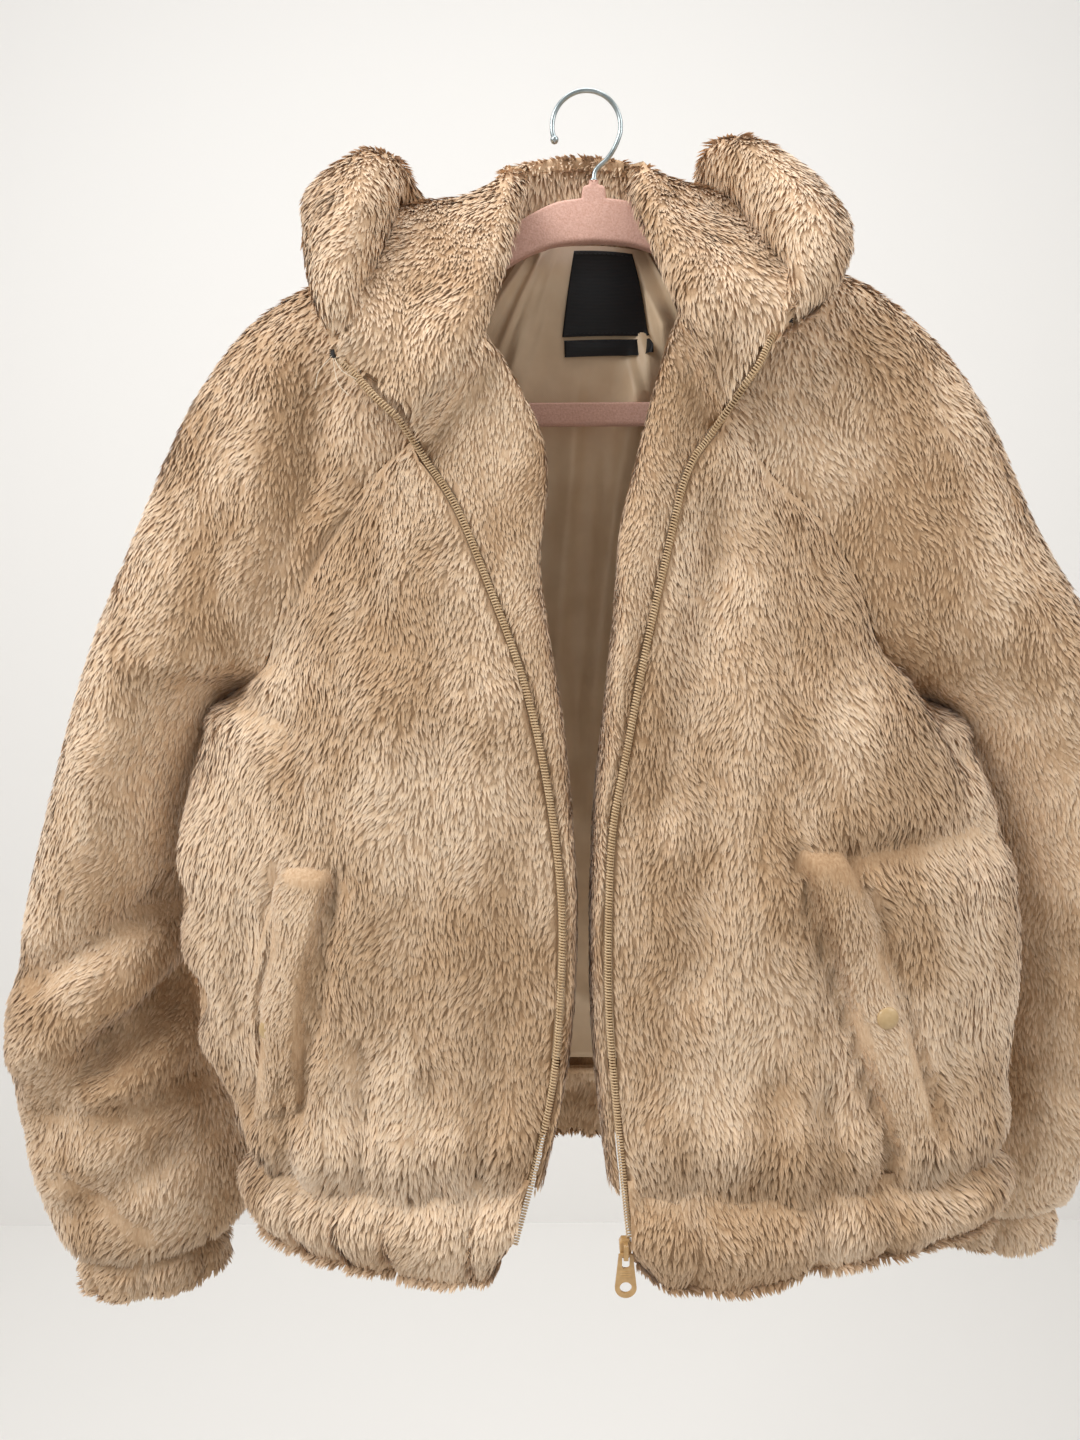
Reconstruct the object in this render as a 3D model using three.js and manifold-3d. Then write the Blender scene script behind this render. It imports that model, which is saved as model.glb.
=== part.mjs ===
// Faux fur jacket, unzipped, on a flocked hanger with a wire hook.
// Millimetres, +Z up, the fronts face -Y. The origin is the inside top of the hook, where it rests.
// "left" and "right" are as seen from the front, so left is -X.
//
// Every cloth piece is a thick sheet: a surface worked out from a short table, its points moved in
// along the normals by the cloth's thickness. The surface is the reach of the pile.
import * as THREE from 'three';
import { mergeVertices } from 'three/addons/utils/BufferGeometryUtils.js';
import Module from 'manifold-3d';

// ---------- driving dimensions ----------
const SEAM = 0.3;            // gap between neighbouring pieces
const SHELL = 7;             // shell: backing plus pile, as it stands off the lining
const HOOD_HALF = 8;         // half of the two-sided hood cloth
const RIM_HALF = 22;         // half of the fat roll along the hood's opening
const FACING = 5;            // turned-in fur beside the zip
const BAND = 18;             // elastic hem band, pile on both sides
const CUFF_LENGTH = 28;
const CUFF_WALL = 11;
const LINING = 1.2;
const LABEL = 0.8;
const ZIP_WIDTH = 5;         // coil and the strip of tape that shows
const ZIP_THICK = 2.4;
const WELT = 6;
const SNAP_RADIUS = 7.6;
const SNAP_THICK = 2.6;
const GATHER_STEP = 36;      // distance between the gathers of the hem

// ---------- small vector tools ----------
const add = (a, b) => [a[0] + b[0], a[1] + b[1], a[2] + b[2]];
const sub = (a, b) => [a[0] - b[0], a[1] - b[1], a[2] - b[2]];
const mul = (a, k) => [a[0] * k, a[1] * k, a[2] * k];
const cross = (a, b) => [a[1] * b[2] - a[2] * b[1], a[2] * b[0] - a[0] * b[2], a[0] * b[1] - a[1] * b[0]];
const dot = (a, b) => a[0] * b[0] + a[1] * b[1] + a[2] * b[2];
const size = (a) => Math.sqrt(dot(a, a));
const unit = (a) => mul(a, 1 / (size(a) || 1));
const mix = (a, b, t) => a + (b - a) * t;
const blend = (a, b, t) => a.map((value, i) => mix(value, b[i], t));
const clamp = (x, low = 0, high = 1) => Math.min(high, Math.max(low, x));
const ease = (x) => clamp(x) ** 2 * (3 - 2 * clamp(x));
const radians = (degrees) => (degrees * Math.PI) / 180;
const steps = (count, from = 0, to = 1) =>
  Array.from({ length: count + 1 }, (_, i) => mix(from, to, i / count));

// Catmull-Rom curve through the rows of a table; r counts rows from 0.
const spline = (rows, r) => {
  const last = rows.length - 1;
  const i = Math.min(Math.floor(clamp(r, 0, last)), last - 1);
  const t = clamp(r, 0, last) - i;
  const [b, c] = [rows[i], rows[i + 1]];
  const a = rows[i - 1] ?? b.map((value, k) => 2 * value - c[k]);
  const d = rows[i + 2] ?? c.map((value, k) => 2 * value - b[k]);
  return b.map((value, k) => {
    const m0 = (c[k] - a[k]) / 2;
    const m1 = (d[k] - value) / 2;
    const t2 = t * t;
    const t3 = t2 * t;
    return (2 * t3 - 3 * t2 + 1) * value + (t3 - 2 * t2 + t) * m0 + (3 * t2 - 2 * t3) * c[k] + (t3 - t2) * m1;
  });
};
const bezier = (p0, p1, p2, p3, t) => {
  const s = 1 - t;
  return p0.map((value, k) =>
    s ** 3 * value + 3 * s * s * t * p1[k] + 3 * s * t * t * p2[k] + t ** 3 * p3[k]);
};

// ---------- the cut of each side ----------
// hood: one row for each station from the zip edge (0) to the centre back (5), and five points in a row:
//   neck seam, crest of the collar, valley or back of the bag, outer bulge, rim.
// sleeve: sections from the neck (0) to the cuff. top and under are the outer and inner point (x, z),
//   cy the middle and b the half depth in y, front and back the angle round to each seam (180 = underarm).
// zip: the front edge from neck to hem seam. side: the side seam from armpit to hem seam.
// inner: where the facing turns back, from neck to hem seam.
const CENTRE_BACK = [[0, 24, -96], [0, 30, -38], [0, 48, -150], [0, 76, -258], [0, 92, -112]];
const LEFT = {
  x: -1,
  hood: [
    [[-113, -80, -248], [-117, -98, -233], [-133, -98, -218], [-149, -93, -203], [-161, -88, -188]],
    [[-105, -68, -222], [-79, -96, -184], [-112, -80, -164], [-162, -88, -166], [-142, -88, -142]],
    [[-96, -40, -162], [-60, -58, -122], [-94, -34, -102], [-172, -46, -112], [-128, -56, -80]],
    [[-88, -8, -103], [-50, -2, -60], [-90, 0, -80], [-178, 4, -92], [-126, -20, -52]],
    [[-52, 20, -99], [-44, 24, -42], [-76, 46, -130], [-140, 68, -170], [-104, 40, -68]],
    CENTRE_BACK,
  ],
  sleeve: [
    //  top x,  z, under x,  z,  cy,  b, front, back
    [-88, -103, -130, -352, -8, 66, 90, 60],
    [-150, -117, -150, -430, -15, 60, 90, 80],
    [-222, -148, -153, -478, -12, 62, 90, 90],
    [-274, -207, -168, -455, -10, 65, 104, 104],
    [-318, -298, -216, -410, -10, 65, 138, 138],
    [-352, -378, -268, -420, -10, 64, 180, 180],
    [-384, -476, -299, -500, -8, 66, 180, 180],
    [-413, -573, -302, -592, -5, 67, 180, 180],
    [-432, -660, -294, -672, 0, 66, 180, 180],
    [-431, -735, -276, -742, 2, 62, 180, 180],
    [-418, -800, -264, -792, 0, 54, 180, 180],
    [-392, -838, -285, -828, 0, 40, 180, 180],
  ],
  zip: [
    [-113, -80, -248], [-88, -92, -285], [-69, -100, -330], [-45, -110, -396], [-30, -118, -463],
    [-22, -123, -530], [-22, -127, -585], [-28, -133, -655], [-43, -138, -720],
  ],
  side: [
    [-268, -10, -420], [-278, -24, -462], [-287, -40, -520], [-284, -48, -580], [-272, -54, -640],
    [-252, -58, -690], [-230, -60, -722],
  ],
  inner: [
    [-64, -88, -180], [-34, -86, -236], [-28, -90, -275], [-33, -95, -320], [-28, -104, -370],
    [-20, -112, -424], [-17, -120, -504], [-18, -123, -559], [-20, -127, -610], [-27, -132, -664],
    [-40, -137, -720],
  ],
};
const RIGHT = {
  x: 1,
  hood: [
    [[84, -80, -232], [88, -98, -217], [100, -98, -201], [112, -93, -185], [122, -88, -168]],
    [[82, -68, -206], [63, -96, -166], [92, -80, -146], [142, -88, -154], [118, -88, -126]],
    [[82, -40, -154], [44, -56, -108], [84, -32, -96], [157, -46, -116], [102, -56, -76]],
    [[84, -8, -103], [36, -4, -58], [76, 0, -74], [148, 4, -92], [83, -20, -42]],
    [[52, 20, -99], [34, 24, -42], [64, 46, -126], [126, 68, -166], [76, 40, -52]],
    CENTRE_BACK,
  ],
  sleeve: [
    [84, -103, 90, -330, -8, 66, 90, 60],
    [135, -112, 101, -420, -15, 60, 90, 80],
    [209, -143, 95, -451, -12, 62, 90, 90],
    [270, -206, 130, -444, -10, 65, 104, 104],
    [315, -297, 194, -414, -10, 65, 138, 138],
    [359, -376, 266, -432, -10, 64, 180, 180],
    [384, -476, 306, -504, -4, 66, 180, 180],
    [413, -573, 317, -592, 2, 66, 180, 180],
    [419, -650, 313, -660, 9, 66, 180, 180],
    [407, -722, 300, -726, 15, 62, 180, 180],
    [389, -782, 278, -776, 20, 55, 180, 180],
    [368, -816, 264, -810, 22, 42, 180, 180],
  ],
  zip: [
    [84, -80, -232], [61, -90, -264], [47, -98, -316], [32, -109, -380], [21, -116, -436],
    [11, -121, -490], [8, -126, -545], [8, -130, -605], [12, -134, -660], [18, -138, -722],
  ],
  side: [
    [266, -10, -432], [279, -24, -472], [293, -40, -524], [299, -48, -585], [294, -54, -640],
    [287, -58, -690], [278, -60, -724],
  ],
  inner: [
    [52, -88, -168], [36, -86, -224], [27, -90, -262], [18, -95, -300], [14, -104, -352],
    [6, -112, -435], [4, -120, -510], [4, -124, -560], [6, -128, -624], [11, -133, -675],
    [19, -137, -722],
  ],
};

// Soft folds of the shell: troughs (depth below 0) and ridges along a line in x and z, on one face.
const FOLDS = [
  // face, x0, z0, x1, z1, width, depth
  [-1, -176, -215, -186, -300, 13, -7],
  [-1, -212, -205, -222, -330, 16, 6],
  [-1, -120, -330, -150, -560, 26, 5],
  [-1, -70, -420, -100, -700, 22, 4],
  [-1, -200, -480, -170, -690, 26, 5],
  [-1, -262, -400, -210, -420, 12, -5],
  [-1, 78, -300, 46, -470, 15, -9],
  [-1, 190, -420, 150, -520, 40, 7],
  [-1, 165, -508, 270, -506, 13, -6],
  [-1, 100, -560, 120, -700, 24, 4],
  [-1, 225, -560, 235, -700, 26, 4],
  [-1, -305, -560, -395, -605, 14, -9],
  [-1, -290, -625, -345, -668, 16, -13],
  [-1, -320, -600, -400, -640, 20, 6],
  [-1, -400, -735, -330, -712, 13, -8],
  [-1, -375, -790, -290, -735, 14, -8],
  [-1, 345, -600, 405, -640, 14, -10],
  [-1, 330, -690, 395, -720, 14, -8],
  [1, -330, -560, -400, -600, 15, -9],
  [1, -310, -640, -390, -700, 16, -9],
  [1, 340, -560, 400, -610, 15, -9],
  [1, 320, -650, 390, -700, 15, -9],
  [1, -150, -330, -120, -680, 34, -7],
  [1, 20, -330, -10, -690, 30, 6],
  [1, 170, -330, 140, -680, 34, -7],
];
const foldDepth = (face, p) => FOLDS.reduce((sum, [side, x0, z0, x1, z1, width, depth]) => {
  if (side !== face) return sum;
  const along = [x1 - x0, z1 - z0];
  const long = along[0] ** 2 + along[1] ** 2;
  const t = ((p[0] - x0) * along[0] + (p[2] - z0) * along[1]) / long;
  const off = Math.hypot(p[0] - x0 - t * along[0], p[2] - z0 - t * along[1]);
  const past = Math.max(0, t - 1, -t) * Math.sqrt(long);
  return sum + depth * Math.exp(-((off / width) ** 2) - (past / (1.5 * width)) ** 2);
}, 0);

// ---------- surfaces ----------
// How far forward the fronts belly and how far back the back stands, from neck to hem seam.
const FRONT_DEPTH = [[-80], [-84], [-90], [-98], [-106], [-112], [-118], [-124], [-128], [-132], [-134], [-136]];
const BACK_DEPTH = [[20], [32], [38], [42], [44], [45], [46], [46], [45], [44], [42], [40]];
// The hood's stations run from the left zip edge (0) over the centre back (5) to the right one (10).
const HOOD = [...LEFT.hood, ...RIGHT.hood.slice(0, 5).reverse()];
const station = (cut, s) => (cut === LEFT ? s : 10 - s);
const hoodColumn = (k, s) => spline(HOOD.map((row) => row[k]), s);
// The neck seam of one side, counted from its own zip edge.
const ring = (cut, s) => hoodColumn(0, station(cut, s));
const SLEEVE_NECK = 0.5;     // station where the front raglan seam meets the neck seam
const ARMPIT = 5;            // section where the sleeve closes under the arm

// Where a sleeve's top edge meets the neck seam: its middle comes to the shoulder point, station 3.
const neckStation = (w) => SLEEVE_NECK + 6.5 * w - 3 * w * w;
const neckShare = (s) => (6.5 - Math.sqrt(6.5 ** 2 - 12 * (s - SLEEVE_NECK))) / 6;
const sleeveArc = (cut, r, w) => {
  const [tx, tz, ux, uz, cy, b, front, back] = spline(cut.sleeve, r);
  const angle = radians(mix(Math.min(front, 180), -Math.min(back, 180), w));
  const k = (1 - Math.cos(angle)) / 2;
  return [mix(tx, ux, k), cy - b * Math.sin(angle), mix(tz, uz, k)];
};
// w runs from the front (or underarm) seam over the top to the back seam.
const sleevePoint = (cut) => (w, r) => {
  const p = sleeveArc(cut, r, w);
  if (r >= 1) return p;
  const seam = sub(ring(cut, neckStation(w)), sleeveArc(cut, 0, w));
  return add(p, mul(seam, (1 - r) ** 2));
};
// A front or back row meets the sleeve seam above the armpit and the side seam below it.
const BELOW = 6;             // rows of the side seam table below the armpit
const seamPoint = (cut, w, r) =>
  r <= ARMPIT ? sleevePoint(cut)(w, r) : spline(cut.side, r - ARMPIT);
const ROWS = ARMPIT + BELOW;
const zipPoint = (cut, r) => spline(cut.zip, (r / ROWS) * (cut.zip.length - 1));
const ZIP_SIDE = ZIP_WIDTH / 2 + SEAM;
// A point beside the zip, square to its run: side 1 is the front's edge, -1 the facing's.
const besideZip = (cut, r, side) => {
  const along = sub(zipPoint(cut, Math.min(r + 0.05, ROWS)), zipPoint(cut, Math.max(r - 0.05, 0)));
  const across = unit([-along[2], 0, along[0]]);
  return add(zipPoint(cut, r), mul(across, Math.sign(across[0]) * cut.x * side * ZIP_SIDE));
};
// u runs from the zip to the side; r counts rows from the neck to the hem seam.
const frontRow = (cut, u, r) => {
  const edge = besideZip(cut, r, 1);
  const seam = seamPoint(cut, 0, r);
  const wide = cut.x * (seam[0] - edge[0]);
  const [depth] = spline(FRONT_DEPTH, r);
  const round = ease((r - 2) / 3);
  const lead = add(edge, [cut.x * 0.33 * wide, mix(0, -12, round), mix(edge[2], seam[2], 0.3) - edge[2]]);
  const turn = [seam[0] - cut.x * mix(0.33, -0.03, round) * wide, depth, mix(edge[2], seam[2], 0.8)];
  return bezier(edge, lead, turn, seam, u);
};
const frontPoint = (cut) => (u, r) => {
  const p = frontRow(cut, u, r);
  if (r >= 1) return p;
  const beside = mul(sub(besideZip(cut, 0, 1), zipPoint(cut, 0)), 1 - u);
  const neck = add(ring(cut, SLEEVE_NECK * u), beside);
  return add(p, mul(sub(neck, frontRow(cut, u, 0)), (1 - r) ** 2));
};
// u runs from the left seam to the right seam.
const backRow = (r, u) => {
  const [a, b] = [seamPoint(LEFT, 1, r), seamPoint(RIGHT, 1, r)];
  const [depth] = spline(BACK_DEPTH, r);
  const inward = mix(0.33 * (b[0] - a[0]), 75, ease((r - 2) / 3));
  const first = [a[0] + inward, a[1] + (depth - a[1]) / 0.75, a[2]];
  const second = [b[0] - inward, b[1] + (depth - b[1]) / 0.75, b[2]];
  return bezier(a, first, second, b, u);
};
const backPoint = (u, r) => {
  const p = backRow(r, u);
  if (r >= 1) return p;
  return add(p, mul(sub(hoodColumn(0, mix(4, 6, u)), backRow(0, u)), (1 - r) ** 2));
};
const facingTurn = (cut, r) => spline(cut.inner, (r / ROWS) * (cut.inner.length - 1));
const facingWidth = (cut, r) =>
  Math.max(FACING + 3, -cut.x * (facingTurn(cut, r)[0] - besideZip(cut, r, -1)[0]));
const facingPoint = (cut) => (u, r) => {
  const edge = besideZip(cut, r, -1);
  const turn = facingTurn(cut, r);
  const wide = facingWidth(cut, r);
  const near = 1 - ease((wide - 10) / 25);
  const fold = [edge[0] - cut.x * wide, mix(turn[1], edge[1] + 14, near), turn[2]];
  const middle = add(blend(edge, fold, 0.55), [0, mix(-6, -7, near), 0]);
  const inside = add(fold, [cut.x * mix(10, 0, near), 32, 0]);
  return spline([edge, middle, fold, inside], 3 * u);
};
const hoodPoint = (s, v) => spline([0, 1, 2, 3, 4].map((k) => hoodColumn(k, s)), 4 * v);

// ---------- sheets ----------
// A sheet is a grid of points and normals over (u, v). flip turns the outside round.
const sheet = (point, us, vs, { flip = false, closed = false, face = null } = {}) => {
  const d = 1e-3;
  const raw = us.map((u) => vs.map((v) => {
    const p = point(u, v);
    const du = sub(point(Math.min(u + d, us.at(-1)), v), point(Math.max(u - d, us[0]), v));
    const dv = sub(point(u, Math.min(v + d, vs.at(-1))), point(u, Math.max(v - d, vs[0])));
    return { p, n: unit(mul(cross(du, dv), flip ? -1 : 1)) };
  }));
  if (!face) return { grid: raw, closed };
  const grid = raw.map((column) => column.map(({ p, n }) => {
    const side = typeof face === 'function' ? face(n) : face;
    return { p: add(p, mul(n, foldDepth(side, p))), n };
  }));
  return { grid, closed };
};
// Two sheets that meet get the mean of their normals along the seam.
const shareNormals = (first, second) => first.forEach((a, i) => {
  const n = unit(add(a.n, second[i].n));
  a.n = n;
  second[i].n = n;
  const p = blend(a.p, second[i].p, 0.5);
  a.p = p;
  second[i].p = p;
});
const edges = {
  first: ({ grid }) => grid[0],
  last: ({ grid }) => grid.at(-1),
  top: ({ grid }) => grid.map((column) => column[0]),
  bottom: ({ grid }) => grid.map((column) => column.at(-1)),
};
// Draws the edges of a sheet in along itself, by half a seam gap each.
// A gap may be a function of the row.
const gapAt = (gap, j) => (typeof gap === 'function' ? gap(j) : gap);
const inset = (source, gaps) => {
  const { grid } = source;
  const [m, n] = [grid.length - 1, grid[0].length - 1];
  const draw = (p, q, gap) => add(p, mul(unit(sub(q, p)), gap));
  const moved = grid.map((column, i) => column.map((at, j) => {
    let { p } = at;
    if (i === 0 && gaps.first) p = draw(p, grid[1][j].p, gapAt(gaps.first, j));
    if (i === m && gaps.last) p = draw(p, grid[m - 1][j].p, gapAt(gaps.last, j));
    if (j === 0 && gaps.top) p = draw(p, grid[i][1].p, gaps.top);
    if (j === n && gaps.bottom) p = draw(p, grid[i][n - 1].p, gaps.bottom);
    return { p, n: at.n };
  }));
  return { grid: moved, closed: source.closed };
};
// The closed solid between two offsets of a sheet. Each offset is a number or a function of (i, j).
const slab = ({ grid, closed }, outer, inner) => {
  const [m, n] = [grid.length, grid[0].length];
  const value = (offset, i, j) => (typeof offset === 'function' ? offset(i / (m - 1), j / (n - 1)) : offset);
  const points = [];
  for (const offset of [outer, inner]) {
    grid.forEach((column, i) => column.forEach(({ p, n: normal }, j) => {
      points.push(...add(p, mul(normal, value(offset, i, j))));
    }));
  }
  const at = (layer, i, j) => layer * m * n + (closed ? i % (m - 1) : i) * n + j;
  const faces = [];
  const quad = (a, b, c, d) => faces.push(a, b, c, a, c, d);
  for (let i = 0; i < m - 1; i += 1) {
    for (let j = 0; j < n - 1; j += 1) {
      quad(at(0, i, j), at(0, i + 1, j), at(0, i + 1, j + 1), at(0, i, j + 1));
      quad(at(1, i, j), at(1, i, j + 1), at(1, i + 1, j + 1), at(1, i + 1, j));
    }
    quad(at(0, i, 0), at(1, i, 0), at(1, i + 1, 0), at(0, i + 1, 0));
    quad(at(0, i, n - 1), at(0, i + 1, n - 1), at(1, i + 1, n - 1), at(1, i, n - 1));
  }
  if (!closed) {
    for (let j = 0; j < n - 1; j += 1) {
      quad(at(0, 0, j), at(0, 0, j + 1), at(1, 0, j + 1), at(1, 0, j));
      quad(at(0, m - 1, j), at(1, m - 1, j), at(1, m - 1, j + 1), at(0, m - 1, j + 1));
    }
  }
  const geometry = new THREE.BufferGeometry();
  geometry.setAttribute('position', new THREE.Float32BufferAttribute(points, 3));
  geometry.setIndex(faces);
  const solid = geometry.toNonIndexed();
  if (volume(solid) < 0) turnInsideOut(solid);
  solid.computeVertexNormals();
  return solid;
};
const volume = (geometry) => {
  const p = geometry.attributes.position.array;
  let sum = 0;
  for (let i = 0; i < p.length; i += 9) {
    sum += dot([p[i], p[i + 1], p[i + 2]],
      cross([p[i + 3], p[i + 4], p[i + 5]], [p[i + 6], p[i + 7], p[i + 8]]));
  }
  return sum / 6;
};
const turnInsideOut = (geometry) => {
  const p = geometry.attributes.position.array;
  for (let i = 0; i < p.length; i += 9) {
    for (let k = 0; k < 3; k += 1) [p[i + 3 + k], p[i + 6 + k]] = [p[i + 6 + k], p[i + 3 + k]];
  }
};

// ---------- finishes ----------
const finish = (color, roughness, metalness = 0) =>
  new THREE.MeshStandardMaterial({ color, roughness, metalness, side: THREE.FrontSide });
const FUR = finish('#c9ad86', 0.95);
const SATIN = finish('#a98f70', 0.5);
const WOVEN = finish('#0d0f14', 0.8);
const TAPE = finish('#b8986a', 0.7);
const ENAMEL = finish('#cfa872', 0.4);
const VELVET = finish('#ddb2a2', 0.95);
const STEEL = finish('#a9b4b5', 0.3, 1);

const jacket = new THREE.Group();
const place = (name, geometry, material) => {
  const mesh = new THREE.Mesh(geometry, material);
  mesh.name = name;
  jacket.add(mesh);
};

// ---------- shell ----------
const RAGLAN = [0, 0.15, 0.35, 0.7, 1.2, 1.8, 2.4, 3, 3.6, 4.2, 4.6, ARMPIT];
const SIDE = steps(8, ARMPIT, ROWS).slice(1);
const ROW_STEPS = [...RAGLAN, ...SIDE];
const SLEEVE_STEPS = [...RAGLAN, ...steps(13, ARMPIT, 11).slice(1)];
const FACING_STEPS = [0.2, ...ROW_STEPS.slice(2)];
const sheets = {};
for (const [name, cut] of [['left', LEFT], ['right', RIGHT]]) {
  const flip = cut.x > 0;
  const depthSide = (n) => (n[1] < 0 ? -1 : 1);
  sheets[`front_${name}`] = sheet(frontPoint(cut), steps(11), ROW_STEPS, { flip, face: -1 });
  sheets[`sleeve_${name}`] = sheet(sleevePoint(cut), steps(16), SLEEVE_STEPS, { flip, face: depthSide });
  sheets[`facing_${name}`] = sheet(facingPoint(cut), steps(7), FACING_STEPS, { flip: !flip });
}
sheets.back = sheet(backPoint, steps(16), ROW_STEPS, { face: 1 });
const [raglanEnd, rowEnd] = [RAGLAN.length, ROW_STEPS.length];
for (const [name, backEdge] of [['left', edges.first], ['right', edges.last]]) {
  const [front, sleeve] = [sheets[`front_${name}`], sheets[`sleeve_${name}`]];
  shareNormals(edges.last(front).slice(0, raglanEnd - 1), edges.first(sleeve).slice(0, raglanEnd - 1));
  shareNormals(backEdge(sheets.back).slice(0, raglanEnd - 1), edges.last(sleeve).slice(0, raglanEnd - 1));
  shareNormals(edges.last(front).slice(raglanEnd, rowEnd), backEdge(sheets.back).slice(raglanEnd, rowEnd));
  const armpit = [edges.last(front)[raglanEnd - 1], backEdge(sheets.back)[raglanEnd - 1],
    edges.first(sleeve)[raglanEnd - 1], edges.last(sleeve)[raglanEnd - 1]];
  armpit.forEach((at, i) => {
    at.n = [0, 0, -1];
    at.p = add(at.p, [[0, -0.8, -0.8], [0, 0.8, -0.8], [0, 0, 0.6], [0, 0, 0.6]][i]);
  });
  shareNormals(edges.first(sleeve).slice(raglanEnd), edges.last(sleeve).slice(raglanEnd));
}
const zipSide = (edge) => edge.forEach((at) => { at.n = [0, -1, 0]; });
for (const name of ['left', 'right']) {
  zipSide(edges.first(sheets[`front_${name}`]));
  zipSide(edges.first(sheets[`facing_${name}`]));
}
const HALF_SEAM = SEAM / 2;
const allRound = { first: HALF_SEAM, last: HALF_SEAM, top: HALF_SEAM, bottom: HALF_SEAM };
// Four walls crowd together at the armpit, so the gap opens there.
const ARMPIT_GAPS = [0.6, 1.4, 0.6];
const raglanGap = (j) => ARMPIT_GAPS[j - raglanEnd + 2] ?? HALF_SEAM;
// Walls that end at a seam are cut square to it.
const cutSquare = (edge, along) => edge.forEach((at) => {
  at.n = unit(sub(at.n, mul(along, dot(at.n, along))));
});
const cuffDown = (cut) => {
  const [tx, tz, ux, uz] = cut.sleeve.at(-1);
  const across = unit([ux - tx, 0, uz - tz]);
  return mul([across[2], 0, -across[0]], Math.sign(across[0]));
};
for (const name of ['front_left', 'front_right', 'back']) cutSquare(edges.bottom(sheets[name]), [0, 0, 1]);
for (const [name, cut] of [['left', LEFT], ['right', RIGHT]]) {
  cutSquare(edges.bottom(sheets[`sleeve_${name}`]), cuffDown(cut));
  const gaps = { ...allRound, first: raglanGap, last: raglanGap, top: 1.2 };
  place(`sleeve_${name}`, slab(inset(sheets[`sleeve_${name}`], gaps), 0, -SHELL), FUR);
  place(`front_${name}`, slab(inset(sheets[`front_${name}`], { ...allRound, last: raglanGap, top: 2 }), 0,
    -SHELL), FUR);
}
place('back', slab(inset(sheets.back, { ...allRound, first: raglanGap, last: raglanGap }), 0, -SHELL), FUR);
for (const [name, cut] of [['facing_left', LEFT], ['facing_right', RIGHT]]) {
  const rowOf = (j) => FACING_STEPS[Math.round(j * (FACING_STEPS.length - 1))];
  const thick = (i, j) => -mix(2.6, FACING, ease((facingWidth(cut, rowOf(j)) - 8) / 16));
  place(name, slab(inset(sheets[name], allRound), 0, thick), FUR);
}

// ---------- solids joined from simple forms ----------
const wasm = await Module();
wasm.setup();
const toManifold = (source) => {
  const geometry = source.clone();
  geometry.deleteAttribute('normal');
  geometry.deleteAttribute('uv');
  const merged = mergeVertices(geometry, 1e-4);
  return new wasm.Manifold(new wasm.Mesh({
    numProp: 3, vertProperties: merged.attributes.position.array, triVerts: merged.index.array,
  }));
};
const fromManifold = (manifold) => {
  const { vertProperties, triVerts } = manifold.getMesh();
  const geometry = new THREE.BufferGeometry();
  geometry.setAttribute('position', new THREE.BufferAttribute(new Float32Array(vertProperties), 3));
  geometry.setIndex(Array.from(triVerts));
  const flat = geometry.toNonIndexed();
  flat.computeVertexNormals();
  return flat;
};
const join = (...geometries) => fromManifold(geometries.map(toManifold).reduce((a, b) => a.add(b)));
// What is left of a solid clear of another: its largest piece.
const clearOf = (geometry, other) => {
  const pieces = toManifold(geometry).subtract(toManifold(other)).decompose();
  return fromManifold(pieces.reduce((a, b) => (a.volume() > b.volume() ? a : b)));
};
// A closed solid from rings of points round a path: ring(w, j) for each side w and place j.
const capped = (ring, sides, places) => {
  const grid = steps(sides).map((w) => places.map((_, j) => ring(w, j)));
  const points = [];
  const last = places.length - 1;
  const quad = (a, b, c, d) => points.push(...a, ...b, ...c, ...a, ...c, ...d);
  for (let i = 0; i < sides; i += 1) {
    const next = (i + 1) % sides;
    for (let j = 0; j < last; j += 1) quad(grid[i][j], grid[next][j], grid[next][j + 1], grid[i][j + 1]);
    if (i === 0 || next === 0) continue;
    points.push(...grid[0][0], ...grid[next][0], ...grid[i][0]);
    points.push(...grid[0][last], ...grid[i][last], ...grid[next][last]);
  }
  const solid = new THREE.BufferGeometry();
  solid.setAttribute('position', new THREE.Float32BufferAttribute(points, 3));
  if (volume(solid) < 0) turnInsideOut(solid);
  solid.computeVertexNormals();
  return solid;
};

// ---------- hood with its stand collar ----------
// The collar stands square on the neck seam, and the doubled cloth thins out at the zip edge.
const HOOD_FOOT = 3;
const HOOD_LIFT = 3;
const fromZip = (s) => Math.min(s, 10 - s);
const hoodHalf = (s, v) => {
  const crest = 1 - ease((v - 0.1) / 0.1) * (1 - ease((v - 0.4) / 0.15));
  const full = mix(HOOD_FOOT, HOOD_HALF, ease(v / 0.3)) * mix(0.4, 1, crest);
  return mix(0.55, 1, ease(fromZip(s) / 0.8)) * mix(full, 3, ease((v - 0.5) / 0.2));
};
// The opening's edge is a fat roll, an oval about the middle of the last stretch of the hood.
const RIM_FROM = 0.74;
const RIM_MIDDLE = 0.87;
const rimRing = (stations, grow) => (w, j) => {
  const s = stations[j];
  const centre = hoodPoint(s, RIM_MIDDLE);
  const along = unit(sub(hoodPoint(s + 0.05, RIM_MIDDLE), hoodPoint(s - 0.05, RIM_MIDDLE)));
  const reachOut = sub(hoodPoint(s, 1), hoodPoint(s, RIM_FROM));
  const across = unit(sub(reachOut, mul(along, dot(reachOut, along))));
  const up = cross(along, across);
  const fat = RIM_HALF * mix(0.4, 1, ease(fromZip(s) / 2)) * mix(0.55, 1, ease(fromZip(s) / 0.8));
  const angle = 2 * Math.PI * w;
  const wide = mul(across, Math.cos(angle) * (size(reachOut) / 2 + grow));
  return add(centre, add(wide, mul(up, Math.sin(angle) * (fat + grow))));
};
const LEFT_STATIONS = [...steps(7, 0.1, 2), ...steps(8, 2, 5).slice(1)];
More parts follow.
